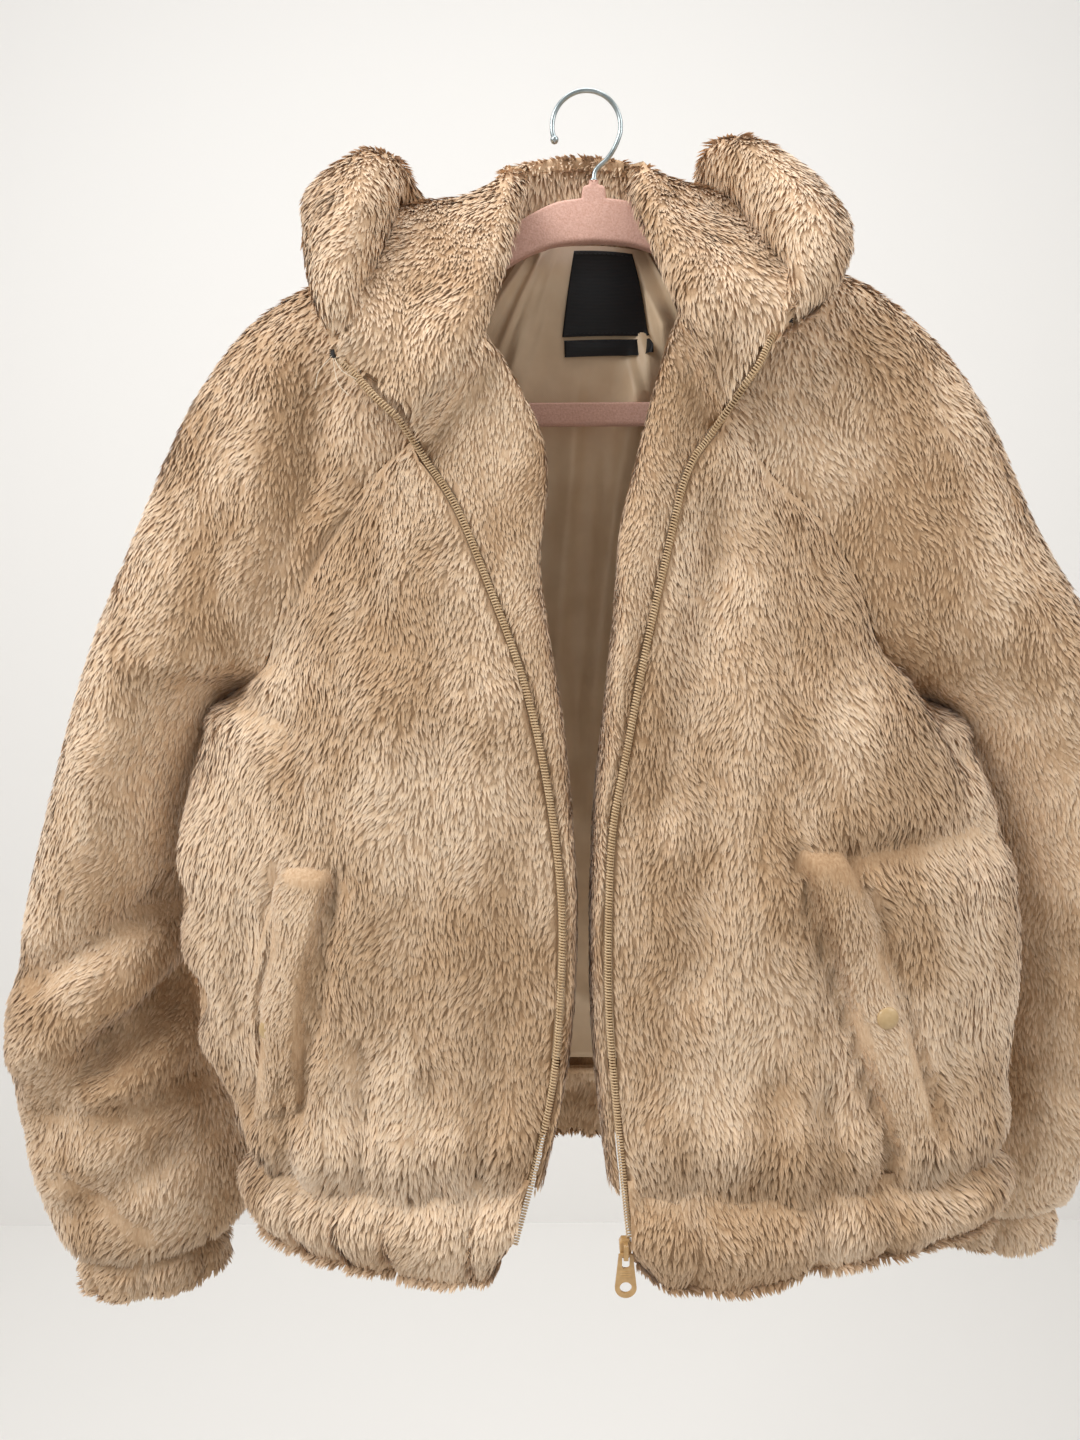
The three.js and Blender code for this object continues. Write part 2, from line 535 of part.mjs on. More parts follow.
const RIGHT_STATIONS = LEFT_STATIONS.map((s) => 10 - s).reverse();
const RIM_STATIONS = [...LEFT_STATIONS, ...RIGHT_STATIONS.slice(1)];
place('hood_rim', capped(rimRing(RIM_STATIONS, 0), 10, RIM_STATIONS), FUR);
const roomForRim = capped(rimRing(RIM_STATIONS, SEAM), 10, RIM_STATIONS);

const HOOD_STEPS = [0, 0.07, 0.14, 0.21, 0.28, 0.36, 0.45, 0.54, 0.63, 0.71, 0.78];
const edgeNormal = (edge, t) => edge[Math.round(clamp(t) * (edge.length - 1))].n;
const seamNormal = (s) => {
  const name = s < 5 ? 'left' : 'right';
  const near = fromZip(s);
  if (near < SLEEVE_NECK) return edgeNormal(edges.top(sheets[`front_${name}`]), near / SLEEVE_NECK);
  if (near > 4) return edgeNormal(edges.top(sheets.back), (s - 4) / 2);
  return edgeNormal(edges.top(sheets[`sleeve_${name}`]), neckShare(near));
};
for (const [name, stations] of [['left', LEFT_STATIONS], ['right', RIGHT_STATIONS]]) {
  const hood = sheet(hoodPoint, stations, HOOD_STEPS);
  hood.grid.forEach((column, i) => {
    const up = seamNormal(stations[i]);
    const foot = column[0];
    const thick = unit(sub(foot.n, mul(up, dot(foot.n, up))));
    const raised = add(mul(up, HOOD_LIFT), [0, 0, 6 * (1 - ease(fromZip(stations[i]) / 1.2))]);
    column[0] = { p: add(foot.p, raised), n: thick };
  });
  const halfOf = (i, j) => hoodHalf(stations[Math.round(i * (stations.length - 1))],
    HOOD_STEPS[Math.round(j * (HOOD_STEPS.length - 1))]);
  const cloth = slab(inset(hood, { first: SEAM, last: SEAM }), halfOf, (i, j) => -halfOf(i, j));
  place(`hood_${name}`, clearOf(cloth, roomForRim), FUR);
}

// ---------- gathered hem band ----------
// Height of the band along each piece, from the zip (or the left seam) to the side.
const HEM = {
  left: [[58], [61], [54], [50], [47], [45]],
  right: [[60], [65], [51], [46], [42], [44]],
  back: [[46], [48], [50], [50], [48], [46]],
};
const GATHER_DEPTH = 3;
// How far the zip edge of the band leans sideways on its way down.
const HEM_DRIFT = { left: -10, right: 3, back: 0 };
// Its corner at the zip is rounded off to this share of the height.
const HEM_CORNER = { left: 0.68, right: 0.8, back: 1 };
const hemPoint = (top, name, waves) => (u, q) => {
  const at = top(u);
  const drift = HEM_DRIFT[name];
  const height = spline(HEM[name], u * 5)[0] * mix(HEM_CORNER[name], 1, ease(u / 0.08));
  const out = unit([at[0] - 10, at[1] + 45, 0]);
  const fade = ease(u / 0.06) * ease((1 - u) / 0.06) * ease(q / 0.3);
  const swell = 5 * Math.sin(Math.PI * q) + GATHER_DEPTH * fade * Math.cos(2 * Math.PI * waves * u);
  const lean = drift * q * (1 - ease(u / 0.3));
  return add(add(at, [lean, 0, -q * height]), mul(out, swell));
};
const HEM_STEPS = [0, 0.3, 0.75, 1];
const roundEdge = (j) => 6 * ease((j - 0.5) / 0.5);
const add2 = ([u, r], du, dr) => [u + du, r + dr];
const lastRow = (piece) => (u) => piece(u, ROWS);
const hemLength = (top) => steps(40).slice(1)
  .reduce((sum, u, i) => sum + size(sub(top(u), top(i / 40))), 0);
for (const [name, top] of [['left', lastRow(frontPoint(LEFT))], ['right', lastRow(frontPoint(RIGHT))],
  ['back', lastRow(backPoint)]]) {
  const waves = Math.round(hemLength(top) / GATHER_STEP);
  sheets[`hem_${name}`] = sheet(hemPoint(top, name, waves), steps(waves * 3), HEM_STEPS,
    { flip: name === 'right' });
}
shareNormals(edges.last(sheets.hem_left), edges.first(sheets.hem_back));
shareNormals(edges.last(sheets.hem_right), edges.last(sheets.hem_back));
zipSide(edges.first(sheets.hem_left));
zipSide(edges.first(sheets.hem_right));
for (const name of ['left', 'right', 'back']) {
  cutSquare(edges.top(sheets[`hem_${name}`]), [0, 0, 1]);
  const gaps = name === 'back' ? { first: 2.6, last: 2.6, top: SEAM } : { first: SEAM, last: 2.6, top: SEAM };
  place(`hem_${name}`, slab(inset(sheets[`hem_${name}`], gaps),
    (i, j) => -roundEdge(j), (i, j) => roundEdge(j) - BAND), FUR);
}

// ---------- gathered cuffs ----------
const CUFF_WAVES = 9;
const cuffPoint = (cut) => (w, q) => {
  const [tx, tz, ux, uz, cy] = cut.sleeve.at(-1);
  const centre = [(tx + ux) / 2, cy, (tz + uz) / 2];
  const down = cuffDown(cut);
  const out = sub(sleevePoint(cut)(w, 11), centre);
  const gather = 2.5 * ease(q / 0.4) * Math.cos(2 * Math.PI * CUFF_WAVES * w);
  const narrow = 1 - 0.06 * Math.sin(Math.PI * q) + gather / size(out);
  return add(add(centre, mul(out, narrow)), mul(down, q * CUFF_LENGTH));
};
for (const [name, cut] of [['left', LEFT], ['right', RIGHT]]) {
  const cuff = sheet(cuffPoint(cut), steps(CUFF_WAVES * 3), [0, 0.35, 0.8, 1], { flip: cut.x > 0, closed: true });
  shareNormals(edges.first(cuff), edges.last(cuff));
  for (const column of cuff.grid) cutSquare(column, cuffDown(cut));
  sheets[`cuff_${name}`] = cuff;
  place(`cuff_${name}`, slab(inset(cuff, { top: 0.3 }), (i, j) => -3 * j ** 2, (i, j) => 3 * j ** 2 - CUFF_WALL),
    FUR);
}

// ---------- what lies on a panel ----------
// A patch is a grid between four corners in the panel's own (u, r), lifted off the panel.
const patch = (point, corners, across, down, flip, face) => {
  const [a, b, c, d] = corners;
  const at = (s, t) => blend(blend(a, b, s), blend(d, c, s), t);
  return sheet((s, t) => point(...at(s, t)), steps(across), steps(down), { flip, face });
};
// Slanted pocket welts: corners (u, r) clockwise from the top inner one, and the snap's place on the welt.
const POCKETS = {
  left: { cut: LEFT, corners: [[0.43, 6.8], [0.52, 6.8], [0.71, 9.9], [0.56, 9.75]], snap: [0.5, 0.65],
    seat: 0.8 },
  right: { cut: RIGHT, corners: [[0.34, 6.6], [0.42, 6.6], [0.6, 10.1], [0.52, 10.5]], snap: [0.5, 0.53],
    seat: 1 },
};
const snapGeometry = () => new THREE.LatheGeometry([
  [0, 0], [SNAP_RADIUS, 0], [SNAP_RADIUS, SNAP_THICK * 0.55], [SNAP_RADIUS * 0.8, SNAP_THICK * 0.9],
  [SNAP_RADIUS * 0.4, SNAP_THICK], [0, SNAP_THICK],
].map(([x, y]) => new THREE.Vector2(x, y)), 14);
for (const [name, { cut, corners, snap, seat }] of Object.entries(POCKETS)) {
  const welt = patch(frontPoint(cut), corners, 4, 12, cut.x > 0, -1);
  const rounded = (i, j) => 3 + (WELT - 2) * Math.sqrt(Math.sin(Math.PI * mix(0.06, 0.94, i)))
    * Math.sqrt(Math.sin(Math.PI * mix(0.03, 0.97, j)));
  place(`welt_${name}`, slab(welt, rounded, seat), FUR);
  const [s, t] = snap;
  const at = blend(blend(corners[0], corners[1], s), blend(corners[3], corners[2], s), t);
  const spot = patch(frontPoint(cut), [at, add2(at, 0.01, 0), add2(at, 0.01, 0.1), add2(at, 0, 0.1)], 1, 1,
    cut.x > 0, -1).grid[0][0];
  const cap = snapGeometry();
  cap.applyQuaternion(new THREE.Quaternion().setFromUnitVectors(new THREE.Vector3(0, 1, 0),
    new THREE.Vector3(...spot.n)));
  cap.translate(...add(spot.p, mul(spot.n, WELT + 1 + 2 * SEAM)));
  place(`snap_${name}`, cap, ENAMEL);
}

// ---------- satin lining and labels ----------
// The lining hangs inside the shell on the same grid, with soft folds that only stand further in.
const cutOut = ({ grid }, [i0, i1], [j0, j1]) => ({
  grid: grid.slice(i0, i1).map((column) => column.slice(j0, j1)),
});
const UNDER = SHELL + 2 * SEAM;
const hangs = (r) => Math.sin(Math.PI * clamp((r - 1) / 9));
const backFold = (u, r) => {
  const pleat = 7 * Math.exp(-(((u - 0.62) / 0.04) ** 2));
  const sway = 5 * (1 + Math.cos(2 * Math.PI * (3 * u + 0.05 * r)));
  return UNDER + hangs(r) * (pleat + sway);
};
const liningBack = cutOut(sheets.back, [1, -1], [0, -1]);
edges.top(liningBack).forEach((at) => { at.p = add(at.p, [0, 0, -6]); });
const depthBack = (i, j) => backFold(mix(1, 15, i) / 16, ROW_STEPS[Math.round((ROW_STEPS.length - 2) * j)]);
place('lining_back', slab(liningBack, (i, j) => -depthBack(i, j), (i, j) => -depthBack(i, j) - LINING), SATIN);
for (const name of ['left', 'right']) {
  const lining = cutOut(sheets[`front_${name}`], [1, -1], [3, -1]);
  place(`lining_front_${name}`, slab(lining, -UNDER, -UNDER - LINING), SATIN);
}
// Labels lie on the lining; corners are (u, r) on the back, clockwise.
const LABELS = [
  ['label', [[0.44, 0.07], [0.82, 0.07], [0.8, 0.33], [0.45, 0.33]]],
  ['label_small', [[0.46, 0.345], [0.8, 0.345], [0.79, 0.41], [0.47, 0.41]]],
];
for (const [name, corners] of LABELS) {
  const label = patch(backPoint, corners, 5, 4, false, 1);
  const us = corners.map(([u]) => u);
  const rs = corners.map(([, r]) => r);
  const deep = (i, j) => backFold(mix(mix(us[0], us[1], i), mix(us[3], us[2], i), j), mix(rs[0], rs[3], j))
    + LINING + 0.8;
  place(name, slab(label, (i, j) => -deep(i, j), (i, j) => -deep(i, j) - LABEL), WOVEN);
}

// ---------- zip ----------
const HEM_END = { left: -757, right: -752.5 };
const zipPath = (cut, name) => {
  const start = cut === LEFT ? 0 : 10;
  const next = cut === LEFT ? 0.02 : 9.98;
  const collar = [0.66, 0.56, 0.46, 0.36, 0.28].map((v) => {
    const away = unit(sub(hoodPoint(start, v), hoodPoint(next, v)));
    return add(hoodPoint(start, v), mul(away, ZIP_SIDE + 1.2));
  });
  const body = [0.45, ...ROW_STEPS.slice(3)].map((r) => zipPoint(cut, r));
  const end = body.at(-1);
  const drift = HEM_DRIFT[name];
  const hem = [0.5, 1].map((t) => [end[0] + drift * t, end[1] - 2 * t, mix(end[2], HEM_END[name], t)]);
  return [...collar, ...body, ...hem];
};
for (const [name, cut] of [['left', LEFT], ['right', RIGHT]]) {
  const path = zipPath(cut, name);
  const grid = [-1, 1].map((edge) => path.map((p, i) => {
    const along = sub(path[Math.min(i + 1, path.length - 1)], path[Math.max(i - 1, 0)]);
    const across = unit([-along[2], 0, along[0]]);
    return { p: add(p, mul(across, edge * (ZIP_WIDTH / 2 - SEAM))), n: [0, -1, 0] };
  }));
  place(`zip_${name}`, slab({ grid }, -0.6, -0.6 - ZIP_THICK), TAPE);
}

// ---------- slider and pull tab ----------
const at2 = (points) => points.map(([x, y]) => new THREE.Vector2(x, y));
const SLIDER = { x: 18.2, y: -140, top: -753, wide: 8, thick: 6, height: 12.5 };
// The bridge is an arch in y and z on the slider's face; the tab's bar hangs in it.
const BRIDGE = { reach: 5.2, wire: 1.8, wide: 3, drop: 1, height: 11 };
const TAB = { thick: 1.8, length: 30, slot: 9, slotHalf: 2.4, topHalf: 4.6, endHalf: 7, hole: 3.9 };
const sliderFace = SLIDER.y - SLIDER.thick / 2;
const axis = [
  SLIDER.x,
  sliderFace - (BRIDGE.reach - BRIDGE.wire) / 2,
  SLIDER.top - BRIDGE.drop - BRIDGE.height + BRIDGE.wire + TAB.thick / 2 + SEAM + 0.2,
];
const shield = [[-0.32, 0], [0.32, 0], [0.5, -0.2], [0.46, -0.7], [0.28, -1], [-0.28, -1], [-0.46, -0.7],
  [-0.5, -0.2]].map(([x, z]) => [x * SLIDER.wide, z * SLIDER.height]);
// An outline in x and z, given a thickness in y.
const plate = (outline, holes, thick, bevel = 0) => {
  const flat = at2(outline);
  const shape = new THREE.Shape(THREE.ShapeUtils.isClockWise(flat) ? flat.reverse() : flat);
  shape.holes = holes.map((hole) => new THREE.Path(at2(hole)));
  const solid = new THREE.ExtrudeGeometry(shape, {
    depth: thick - 2 * bevel,
    bevelEnabled: bevel > 0,
    bevelThickness: bevel,
    bevelSize: bevel,
    bevelOffset: -bevel,
    bevelSegments: 2,
  });
  return solid.rotateX(Math.PI / 2).translate(0, thick / 2 - bevel, 0);
};
const arc = (x, z, rx, rz, from, to, count) =>
  steps(count, radians(from), radians(to)).map((a) => [x + rx * Math.cos(a), z + rz * Math.sin(a)]);
const sliderBody = plate(shield, [], SLIDER.thick, 0.8).translate(SLIDER.x, SLIDER.y, SLIDER.top);
const { reach, wire, height } = BRIDGE;
const archOutline = [
  [1, 0], ...arc(-reach + 2.2, -2.2, 2.2, 2.2, 90, 180, 4), ...arc(-reach + 2.2, -height + 2.2, 2.2, 2.2, 180, 270, 4),
  [1, -height], [1, -height + wire], [-reach + wire, -height + wire], [-reach + wire, -wire], [1, -wire],
];
const bridge = plate(archOutline, [], BRIDGE.wide).rotateZ(Math.PI / 2);
bridge.translate(SLIDER.x, sliderFace, SLIDER.top - BRIDGE.drop);
place('slider', join(sliderBody, bridge), ENAMEL);

const { topHalf, endHalf, slotHalf } = TAB;
const endZ = endHalf - TAB.length + TAB.thick / 2;
const tabOutline = [
  ...arc(0, 0, topHalf, TAB.thick / 2, 180, 0, 6),
  ...arc(0, endZ, endHalf, endHalf, 0, -180, 14),
];
const slotOutline = [
  [-slotHalf, -TAB.thick / 2], [-slotHalf, -TAB.slot + 1], [-slotHalf + 1, -TAB.slot],
  [slotHalf - 1, -TAB.slot], [slotHalf, -TAB.slot + 1], [slotHalf, -TAB.thick / 2],
];
const holeOutline = arc(0, endZ, TAB.hole, TAB.hole, 0, 360, 16).slice(0, -1);
place('pull_tab', plate(tabOutline, [slotOutline, holeOutline], TAB.thick).translate(...axis), ENAMEL);

// ---------- hanger ----------
// The upper edge of the right arm out to its tip, and the edge of the opening below it, from the middle.
const HANGER = { x: 5, thick: 10, bevel: 2.4, stemHalf: 3.2, stemTop: -58 };
const ARM_TOP = [[7.5, -63], [8.5, -70], [30, -74], [58, -90], [70, -110], [90, -123.5], [140, -156], [190, -188],
  [212, -203], [218, -211], [214, -221], [204, -224]];
const ARM_UNDER = [[0, -99], [30, -102], [60, -115], [95, -141], [140, -173], [176, -200], [182, -208]];
const bothSides = (rows) => [...rows.map(([x, z]) => [-x, z]).reverse(), ...rows];
const hangerOutline = bothSides([[HANGER.stemHalf, HANGER.stemTop], [HANGER.stemHalf, -61], ...ARM_TOP]);
const hangerHole = bothSides(ARM_UNDER.slice(1));
hangerHole.splice(ARM_UNDER.length - 1, 0, ARM_UNDER[0]);
place('hanger', plate(hangerOutline, [hangerHole], HANGER.thick, HANGER.bevel).translate(HANGER.x, 0, 0), VELVET);

const WIRE = 1.65;
const BALL = 2.9;
const HOOK_ARC = { z: -22, radius: 23.65 };
const { radius } = HOOK_ARC;
const hookPath = [
  ...arc(0, HOOK_ARC.z, radius, radius, 201, -14, 18).map(([x, z]) => [x, 0, z]),
  [19.5, 0, -36], [14.2, 0, -43.5], [HANGER.x + 1.4, 0, -51], [HANGER.x, 0, -57.7],
];
// A round wire along a path in the plane of x and z.
const wireRing = (path, thick) => (w, j) => {
  const along = unit(sub(path[Math.min(j + 1, path.length - 1)], path[Math.max(j - 1, 0)]));
  const angle = 2 * Math.PI * w;
  const side = mul(cross(along, [0, 1, 0]), Math.cos(angle));
  return add(path[j], mul(add(side, [0, Math.sin(angle), 0]), thick));
};
const ball = new THREE.IcosahedronGeometry(BALL, 1).translate(...hookPath[0]);
place('hook', join(capped(wireRing(hookPath, WIRE), 8, hookPath), ball), STEEL);

export default jacket;
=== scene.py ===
# %% [markdown]
# # A faux fur jacket on a hanger
# The jacket is a bomber with a hood: two fronts, a back, two raglan sleeves that run up to the
# neck, gathered fur bands at hem and wrists, fur facings beside an open zip, and a satin lining.
# It hangs on a flocked hanger with a wire hook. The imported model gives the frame: metres, +Z up,
# the fronts face -Y, and the origin is where the hook rests.
# Lengths below are in millimetres, as a maker writes them, and turn to metres when a mesh is made.

# %% Load the frame
import math

import bmesh
import bpy
import numpy as np
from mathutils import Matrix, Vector


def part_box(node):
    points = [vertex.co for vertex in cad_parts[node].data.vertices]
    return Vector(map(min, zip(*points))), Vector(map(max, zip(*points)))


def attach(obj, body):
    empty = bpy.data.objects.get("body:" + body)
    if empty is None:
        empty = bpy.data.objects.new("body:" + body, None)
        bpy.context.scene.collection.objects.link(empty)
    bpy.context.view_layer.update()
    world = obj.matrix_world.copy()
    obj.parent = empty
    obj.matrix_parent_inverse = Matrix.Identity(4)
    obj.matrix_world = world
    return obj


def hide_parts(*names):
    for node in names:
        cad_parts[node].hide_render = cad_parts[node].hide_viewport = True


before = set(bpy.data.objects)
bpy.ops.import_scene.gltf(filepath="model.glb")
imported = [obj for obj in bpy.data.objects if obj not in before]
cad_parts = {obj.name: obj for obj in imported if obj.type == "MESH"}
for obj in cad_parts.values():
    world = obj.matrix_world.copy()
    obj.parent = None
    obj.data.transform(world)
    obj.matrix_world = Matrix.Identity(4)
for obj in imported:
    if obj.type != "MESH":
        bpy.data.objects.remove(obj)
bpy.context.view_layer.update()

# %% [markdown]
# ## The camera
# It stands 0.79 m in front of the hook and a little below it, turned slightly down. The long
# side of the film is 36 mm, so 27 mm is a mild wide angle. It comes first because everything
# else is judged through it.

# %% Camera
camera_data = bpy.data.cameras.new("camera")
camera_data.lens = 27.02
camera_data.sensor_width = 36.0
camera_data.clip_start = 0.01
camera = bpy.data.objects.new("camera", camera_data)
bpy.context.scene.collection.objects.link(camera)
camera.location = (-0.034, -0.790, -0.342)
camera.rotation_euler = (math.radians(90 - 6.7), math.radians(0.35), 0)
bpy.context.scene.camera = camera
print("camera", tuple(camera.location))

# %% [markdown]
# ## Curves through a table
# A tailor grades a pattern from a table of measurements. Here each row of a table is one
# section of the cloth, and a smooth curve through the rows fills in the rest. Everything takes
# whole arrays, so one call works out a whole surface.

# %% Curves
SEAM = 0.3
SHELL = 7.0


def spline(rows, r):
    """Catmull-Rom curve: cubic Hermite through rows, whose slope at each row is half the
    difference of its two neighbours. r counts rows from 0 and may be an array of any shape."""
    rows = np.asarray(rows, float)
    last = len(rows) - 1
    r = np.clip(np.asarray(r, float), 0, last)
    i = np.minimum(np.floor(r).astype(int), last - 1)
    padded = np.vstack([2 * rows[:1] - rows[1:2], rows, 2 * rows[-1:] - rows[-2:-1]])
    a, b, c, d = (padded[i + k] for k in range(4))
    return hermite(a, b, c, d, (r - i)[..., None])


def hermite(a, b, c, d, t):
    """Cubic from b to c at t in 0..1 with end slopes (c - a) / 2 and (d - b) / 2."""
    m0, m1 = (c - a) / 2, (d - b) / 2
    t2, t3 = t * t, t * t * t
    return (2 * t3 - 3 * t2 + 1) * b + (t3 - 2 * t2 + t) * m0 + (3 * t2 - 2 * t3) * c + (t3 - t2) * m1


def spline_along(columns, t):
    """The same curve where every point has its own rows: columns is (..., rows, 3), t is (...)."""
    first = 2 * columns[..., :1, :] - columns[..., 1:2, :]
    final = 2 * columns[..., -1:, :] - columns[..., -2:-1, :]
    padded = np.concatenate([first, columns, final], axis=-2)
    last = columns.shape[-2] - 1
    t = np.clip(t, 0, last)
    i = np.minimum(np.floor(t).astype(int), last - 1)
    rows = [np.take_along_axis(padded, (i + k)[..., None, None], axis=-2)[..., 0, :] for k in range(4)]
    return hermite(*rows, (t - i)[..., None])


def bezier(p0, p1, p2, p3, t):
    """Cubic Bezier: the four points weighted by the Bernstein polynomials of t."""
    t = np.asarray(t)[..., None]
    s = 1 - t
    return s**3 * p0 + 3 * s * s * t * p1 + 3 * s * t * t * p2 + t**3 * p3


def mix(a, b, t):
    """Straight line from a to b."""
    return a + (b - a) * t


def ease(x):
    """0 below 0, 1 above 1, and the smooth cubic 3x^2 - 2x^3 between."""
    x = np.clip(x, 0, 1)
    return x * x * (3 - 2 * x)


def point(x, y, z):
    """Stacks three arrays (or numbers) into points."""
    return np.stack(np.broadcast_arrays(x, y, z), axis=-1).astype(float)


def unit(v):
    """v at length 1."""
    return v / np.maximum(np.linalg.norm(v, axis=-1, keepdims=True), 1e-9)


print("curves ready")

# %% [markdown]
# ## The cut of the jacket
# These are the same tables as the solids have, in millimetres. A hood row is one station on the
# neck seam, from the zip edge (0) to the centre back (5); its five points climb from the seam over
# the collar's crest, down its back, round the outer bulge and up to the rim. A sleeve row is one
# ring. The zip, side and inner rows run down the front edge, the side seam and the facing's fold.

# %% The cut
CENTRE_BACK = [[0, 24, -96], [0, 30, -38], [0, 48, -150], [0, 76, -258], [0, 92, -112]]
LEFT = {
    "x": -1,
    "hood": [
        [[-113, -80, -248], [-117, -98, -233], [-133, -98, -218], [-149, -93, -203], [-161, -88, -188]],
        [[-105, -68, -222], [-79, -96, -184], [-112, -80, -164], [-162, -88, -166], [-142, -88, -142]],
        [[-96, -40, -162], [-60, -58, -122], [-94, -34, -102], [-172, -46, -112], [-128, -56, -80]],
        [[-88, -8, -103], [-50, -2, -60], [-90, 0, -80], [-178, 4, -92], [-126, -20, -52]],
        [[-52, 20, -99], [-44, 24, -42], [-76, 46, -130], [-140, 68, -170], [-104, 40, -68]],
        CENTRE_BACK,
    ],
    "sleeve": [
        #  top x,  z, under x,  z,  cy,  b, front, back
        [-88, -103, -130, -352, -8, 66, 90, 60],
        [-150, -117, -150, -430, -15, 60, 90, 80],
        [-222, -148, -153, -478, -12, 62, 90, 90],
        [-274, -207, -168, -455, -10, 65, 104, 104],
        [-318, -298, -216, -410, -10, 65, 138, 138],
        [-352, -378, -268, -420, -10, 64, 180, 180],
        [-384, -476, -299, -500, -8, 66, 180, 180],
        [-413, -573, -302, -592, -5, 67, 180, 180],
        [-432, -660, -294, -672, 0, 66, 180, 180],
        [-431, -735, -276, -742, 2, 62, 180, 180],
        [-418, -800, -264, -792, 0, 54, 180, 180],
        [-392, -838, -285, -828, 0, 40, 180, 180],
    ],
    "zip": [
        [-113, -80, -248], [-88, -92, -285], [-69, -100, -330], [-45, -110, -396], [-30, -118, -463],
        [-22, -123, -530], [-22, -127, -585], [-28, -133, -655], [-43, -138, -720],
    ],
    "side": [
        [-268, -10, -420], [-278, -24, -462], [-287, -40, -520], [-284, -48, -580], [-272, -54, -640],
        [-252, -58, -690], [-230, -60, -722],
    ],
    "inner": [
        [-64, -88, -180], [-34, -86, -236], [-28, -90, -275], [-33, -95, -320], [-28, -104, -370],
        [-20, -112, -424], [-17, -120, -504], [-18, -123, -559], [-20, -127, -610], [-27, -132, -664],
        [-40, -137, -720],
    ],
}
RIGHT = {
    "x": 1,
    "hood": [
        [[84, -80, -232], [88, -98, -217], [100, -98, -201], [112, -93, -185], [122, -88, -168]],
        [[82, -68, -206], [63, -96, -166], [92, -80, -146], [142, -88, -154], [118, -88, -126]],
        [[82, -40, -154], [44, -56, -108], [84, -32, -96], [157, -46, -116], [102, -56, -76]],
        [[84, -8, -103], [36, -4, -58], [76, 0, -74], [148, 4, -92], [83, -20, -42]],
        [[52, 20, -99], [34, 24, -42], [64, 46, -126], [126, 68, -166], [76, 40, -52]],
        CENTRE_BACK,
    ],
    "sleeve": [
        [84, -103, 90, -330, -8, 66, 90, 60],
        [135, -112, 101, -420, -15, 60, 90, 80],
        [209, -143, 95, -451, -12, 62, 90, 90],
        [270, -206, 130, -444, -10, 65, 104, 104],
        [315, -297, 194, -414, -10, 65, 138, 138],
        [359, -376, 266, -432, -10, 64, 180, 180],
        [384, -476, 306, -504, -4, 66, 180, 180],
        [413, -573, 317, -592, 2, 66, 180, 180],
        [419, -650, 313, -660, 9, 66, 180, 180],
        [407, -722, 300, -726, 15, 62, 180, 180],
        [389, -782, 278, -776, 20, 55, 180, 180],
        [368, -816, 264, -810, 22, 42, 180, 180],
    ],
    "zip": [
        [84, -80, -232], [61, -90, -264], [47, -98, -316], [32, -109, -380], [21, -116, -436],
        [11, -121, -490], [8, -126, -545], [8, -130, -605], [12, -134, -660], [18, -138, -722],
    ],
    "side": [
        [266, -10, -432], [279, -24, -472], [293, -40, -524], [299, -48, -585], [294, -54, -640],
        [287, -58, -690], [278, -60, -724],
    ],
    "inner": [
        [52, -88, -168], [36, -86, -224], [27, -90, -262], [18, -95, -300], [14, -104, -352],
        [6, -112, -435], [4, -120, -510], [4, -124, -560], [6, -128, -624], [11, -133, -675],
        [19, -137, -722],
    ],
}
# Soft folds: troughs (depth below 0) and ridges along a line in x and z, on the front (-1) or back (1).
FOLDS = [
    # face, x0, z0, x1, z1, width, depth
    [-1, -176, -215, -186, -300, 13, -7],
    [-1, -212, -205, -222, -330, 16, 6],
    [-1, -120, -330, -150, -560, 26, 5],
    [-1, -70, -420, -100, -700, 22, 4],
    [-1, -200, -480, -170, -690, 26, 5],
    [-1, -262, -400, -210, -420, 12, -5],
    [-1, 78, -300, 46, -470, 15, -9],
    [-1, 190, -420, 150, -520, 40, 7],
    [-1, 165, -508, 270, -506, 13, -6],
    [-1, 100, -560, 120, -700, 24, 4],
    [-1, 225, -560, 235, -700, 26, 4],
    [-1, -305, -560, -395, -605, 14, -9],
    [-1, -290, -625, -345, -668, 16, -13],
    [-1, -320, -600, -400, -640, 20, 6],
    [-1, -400, -735, -330, -712, 13, -8],
    [-1, -375, -790, -290, -735, 14, -8],
    [-1, 345, -600, 405, -640, 14, -10],
    [-1, 330, -690, 395, -720, 14, -8],
    [1, -330, -560, -400, -600, 15, -9],
    [1, -310, -640, -390, -700, 16, -9],
    [1, 340, -560, 400, -610, 15, -9],
    [1, 320, -650, 390, -700, 15, -9],
    [1, -150, -330, -120, -680, 34, -7],
    [1, 20, -330, -10, -690, 30, 6],
    [1, 170, -330, 140, -680, 34, -7],
]
FRONT_DEPTH = [[-80], [-84], [-90], [-98], [-106], [-112], [-118], [-124], [-128], [-132], [-134], [-136]]
BACK_DEPTH = [[20], [32], [38], [42], [44], [45], [46], [46], [45], [44], [42], [40]]
HOOD = np.array(LEFT["hood"] + RIGHT["hood"][:5][::-1], float)
for cut in (LEFT, RIGHT):
    for name in ("sleeve", "zip", "side", "inner"):
        cut[name] = np.array(cut[name], float)
print("hood stations", len(HOOD), "sleeve sections", len(LEFT["sleeve"]))

# %% [markdown]
# ## Surfaces from the cut
# A raglan sleeve is half a ring near the neck and closes under the arm at section 5. Fronts and
# back meet it along the raglan seams above the armpit and each other along the side seam below.
# Each function takes two arrays and gives points; u or w runs round the body, r or v down it.

# %% Surfaces
SLEEVE_NECK, ARMPIT, ROWS = 0.5, 5, 11
ZIP_SIDE = 2.8


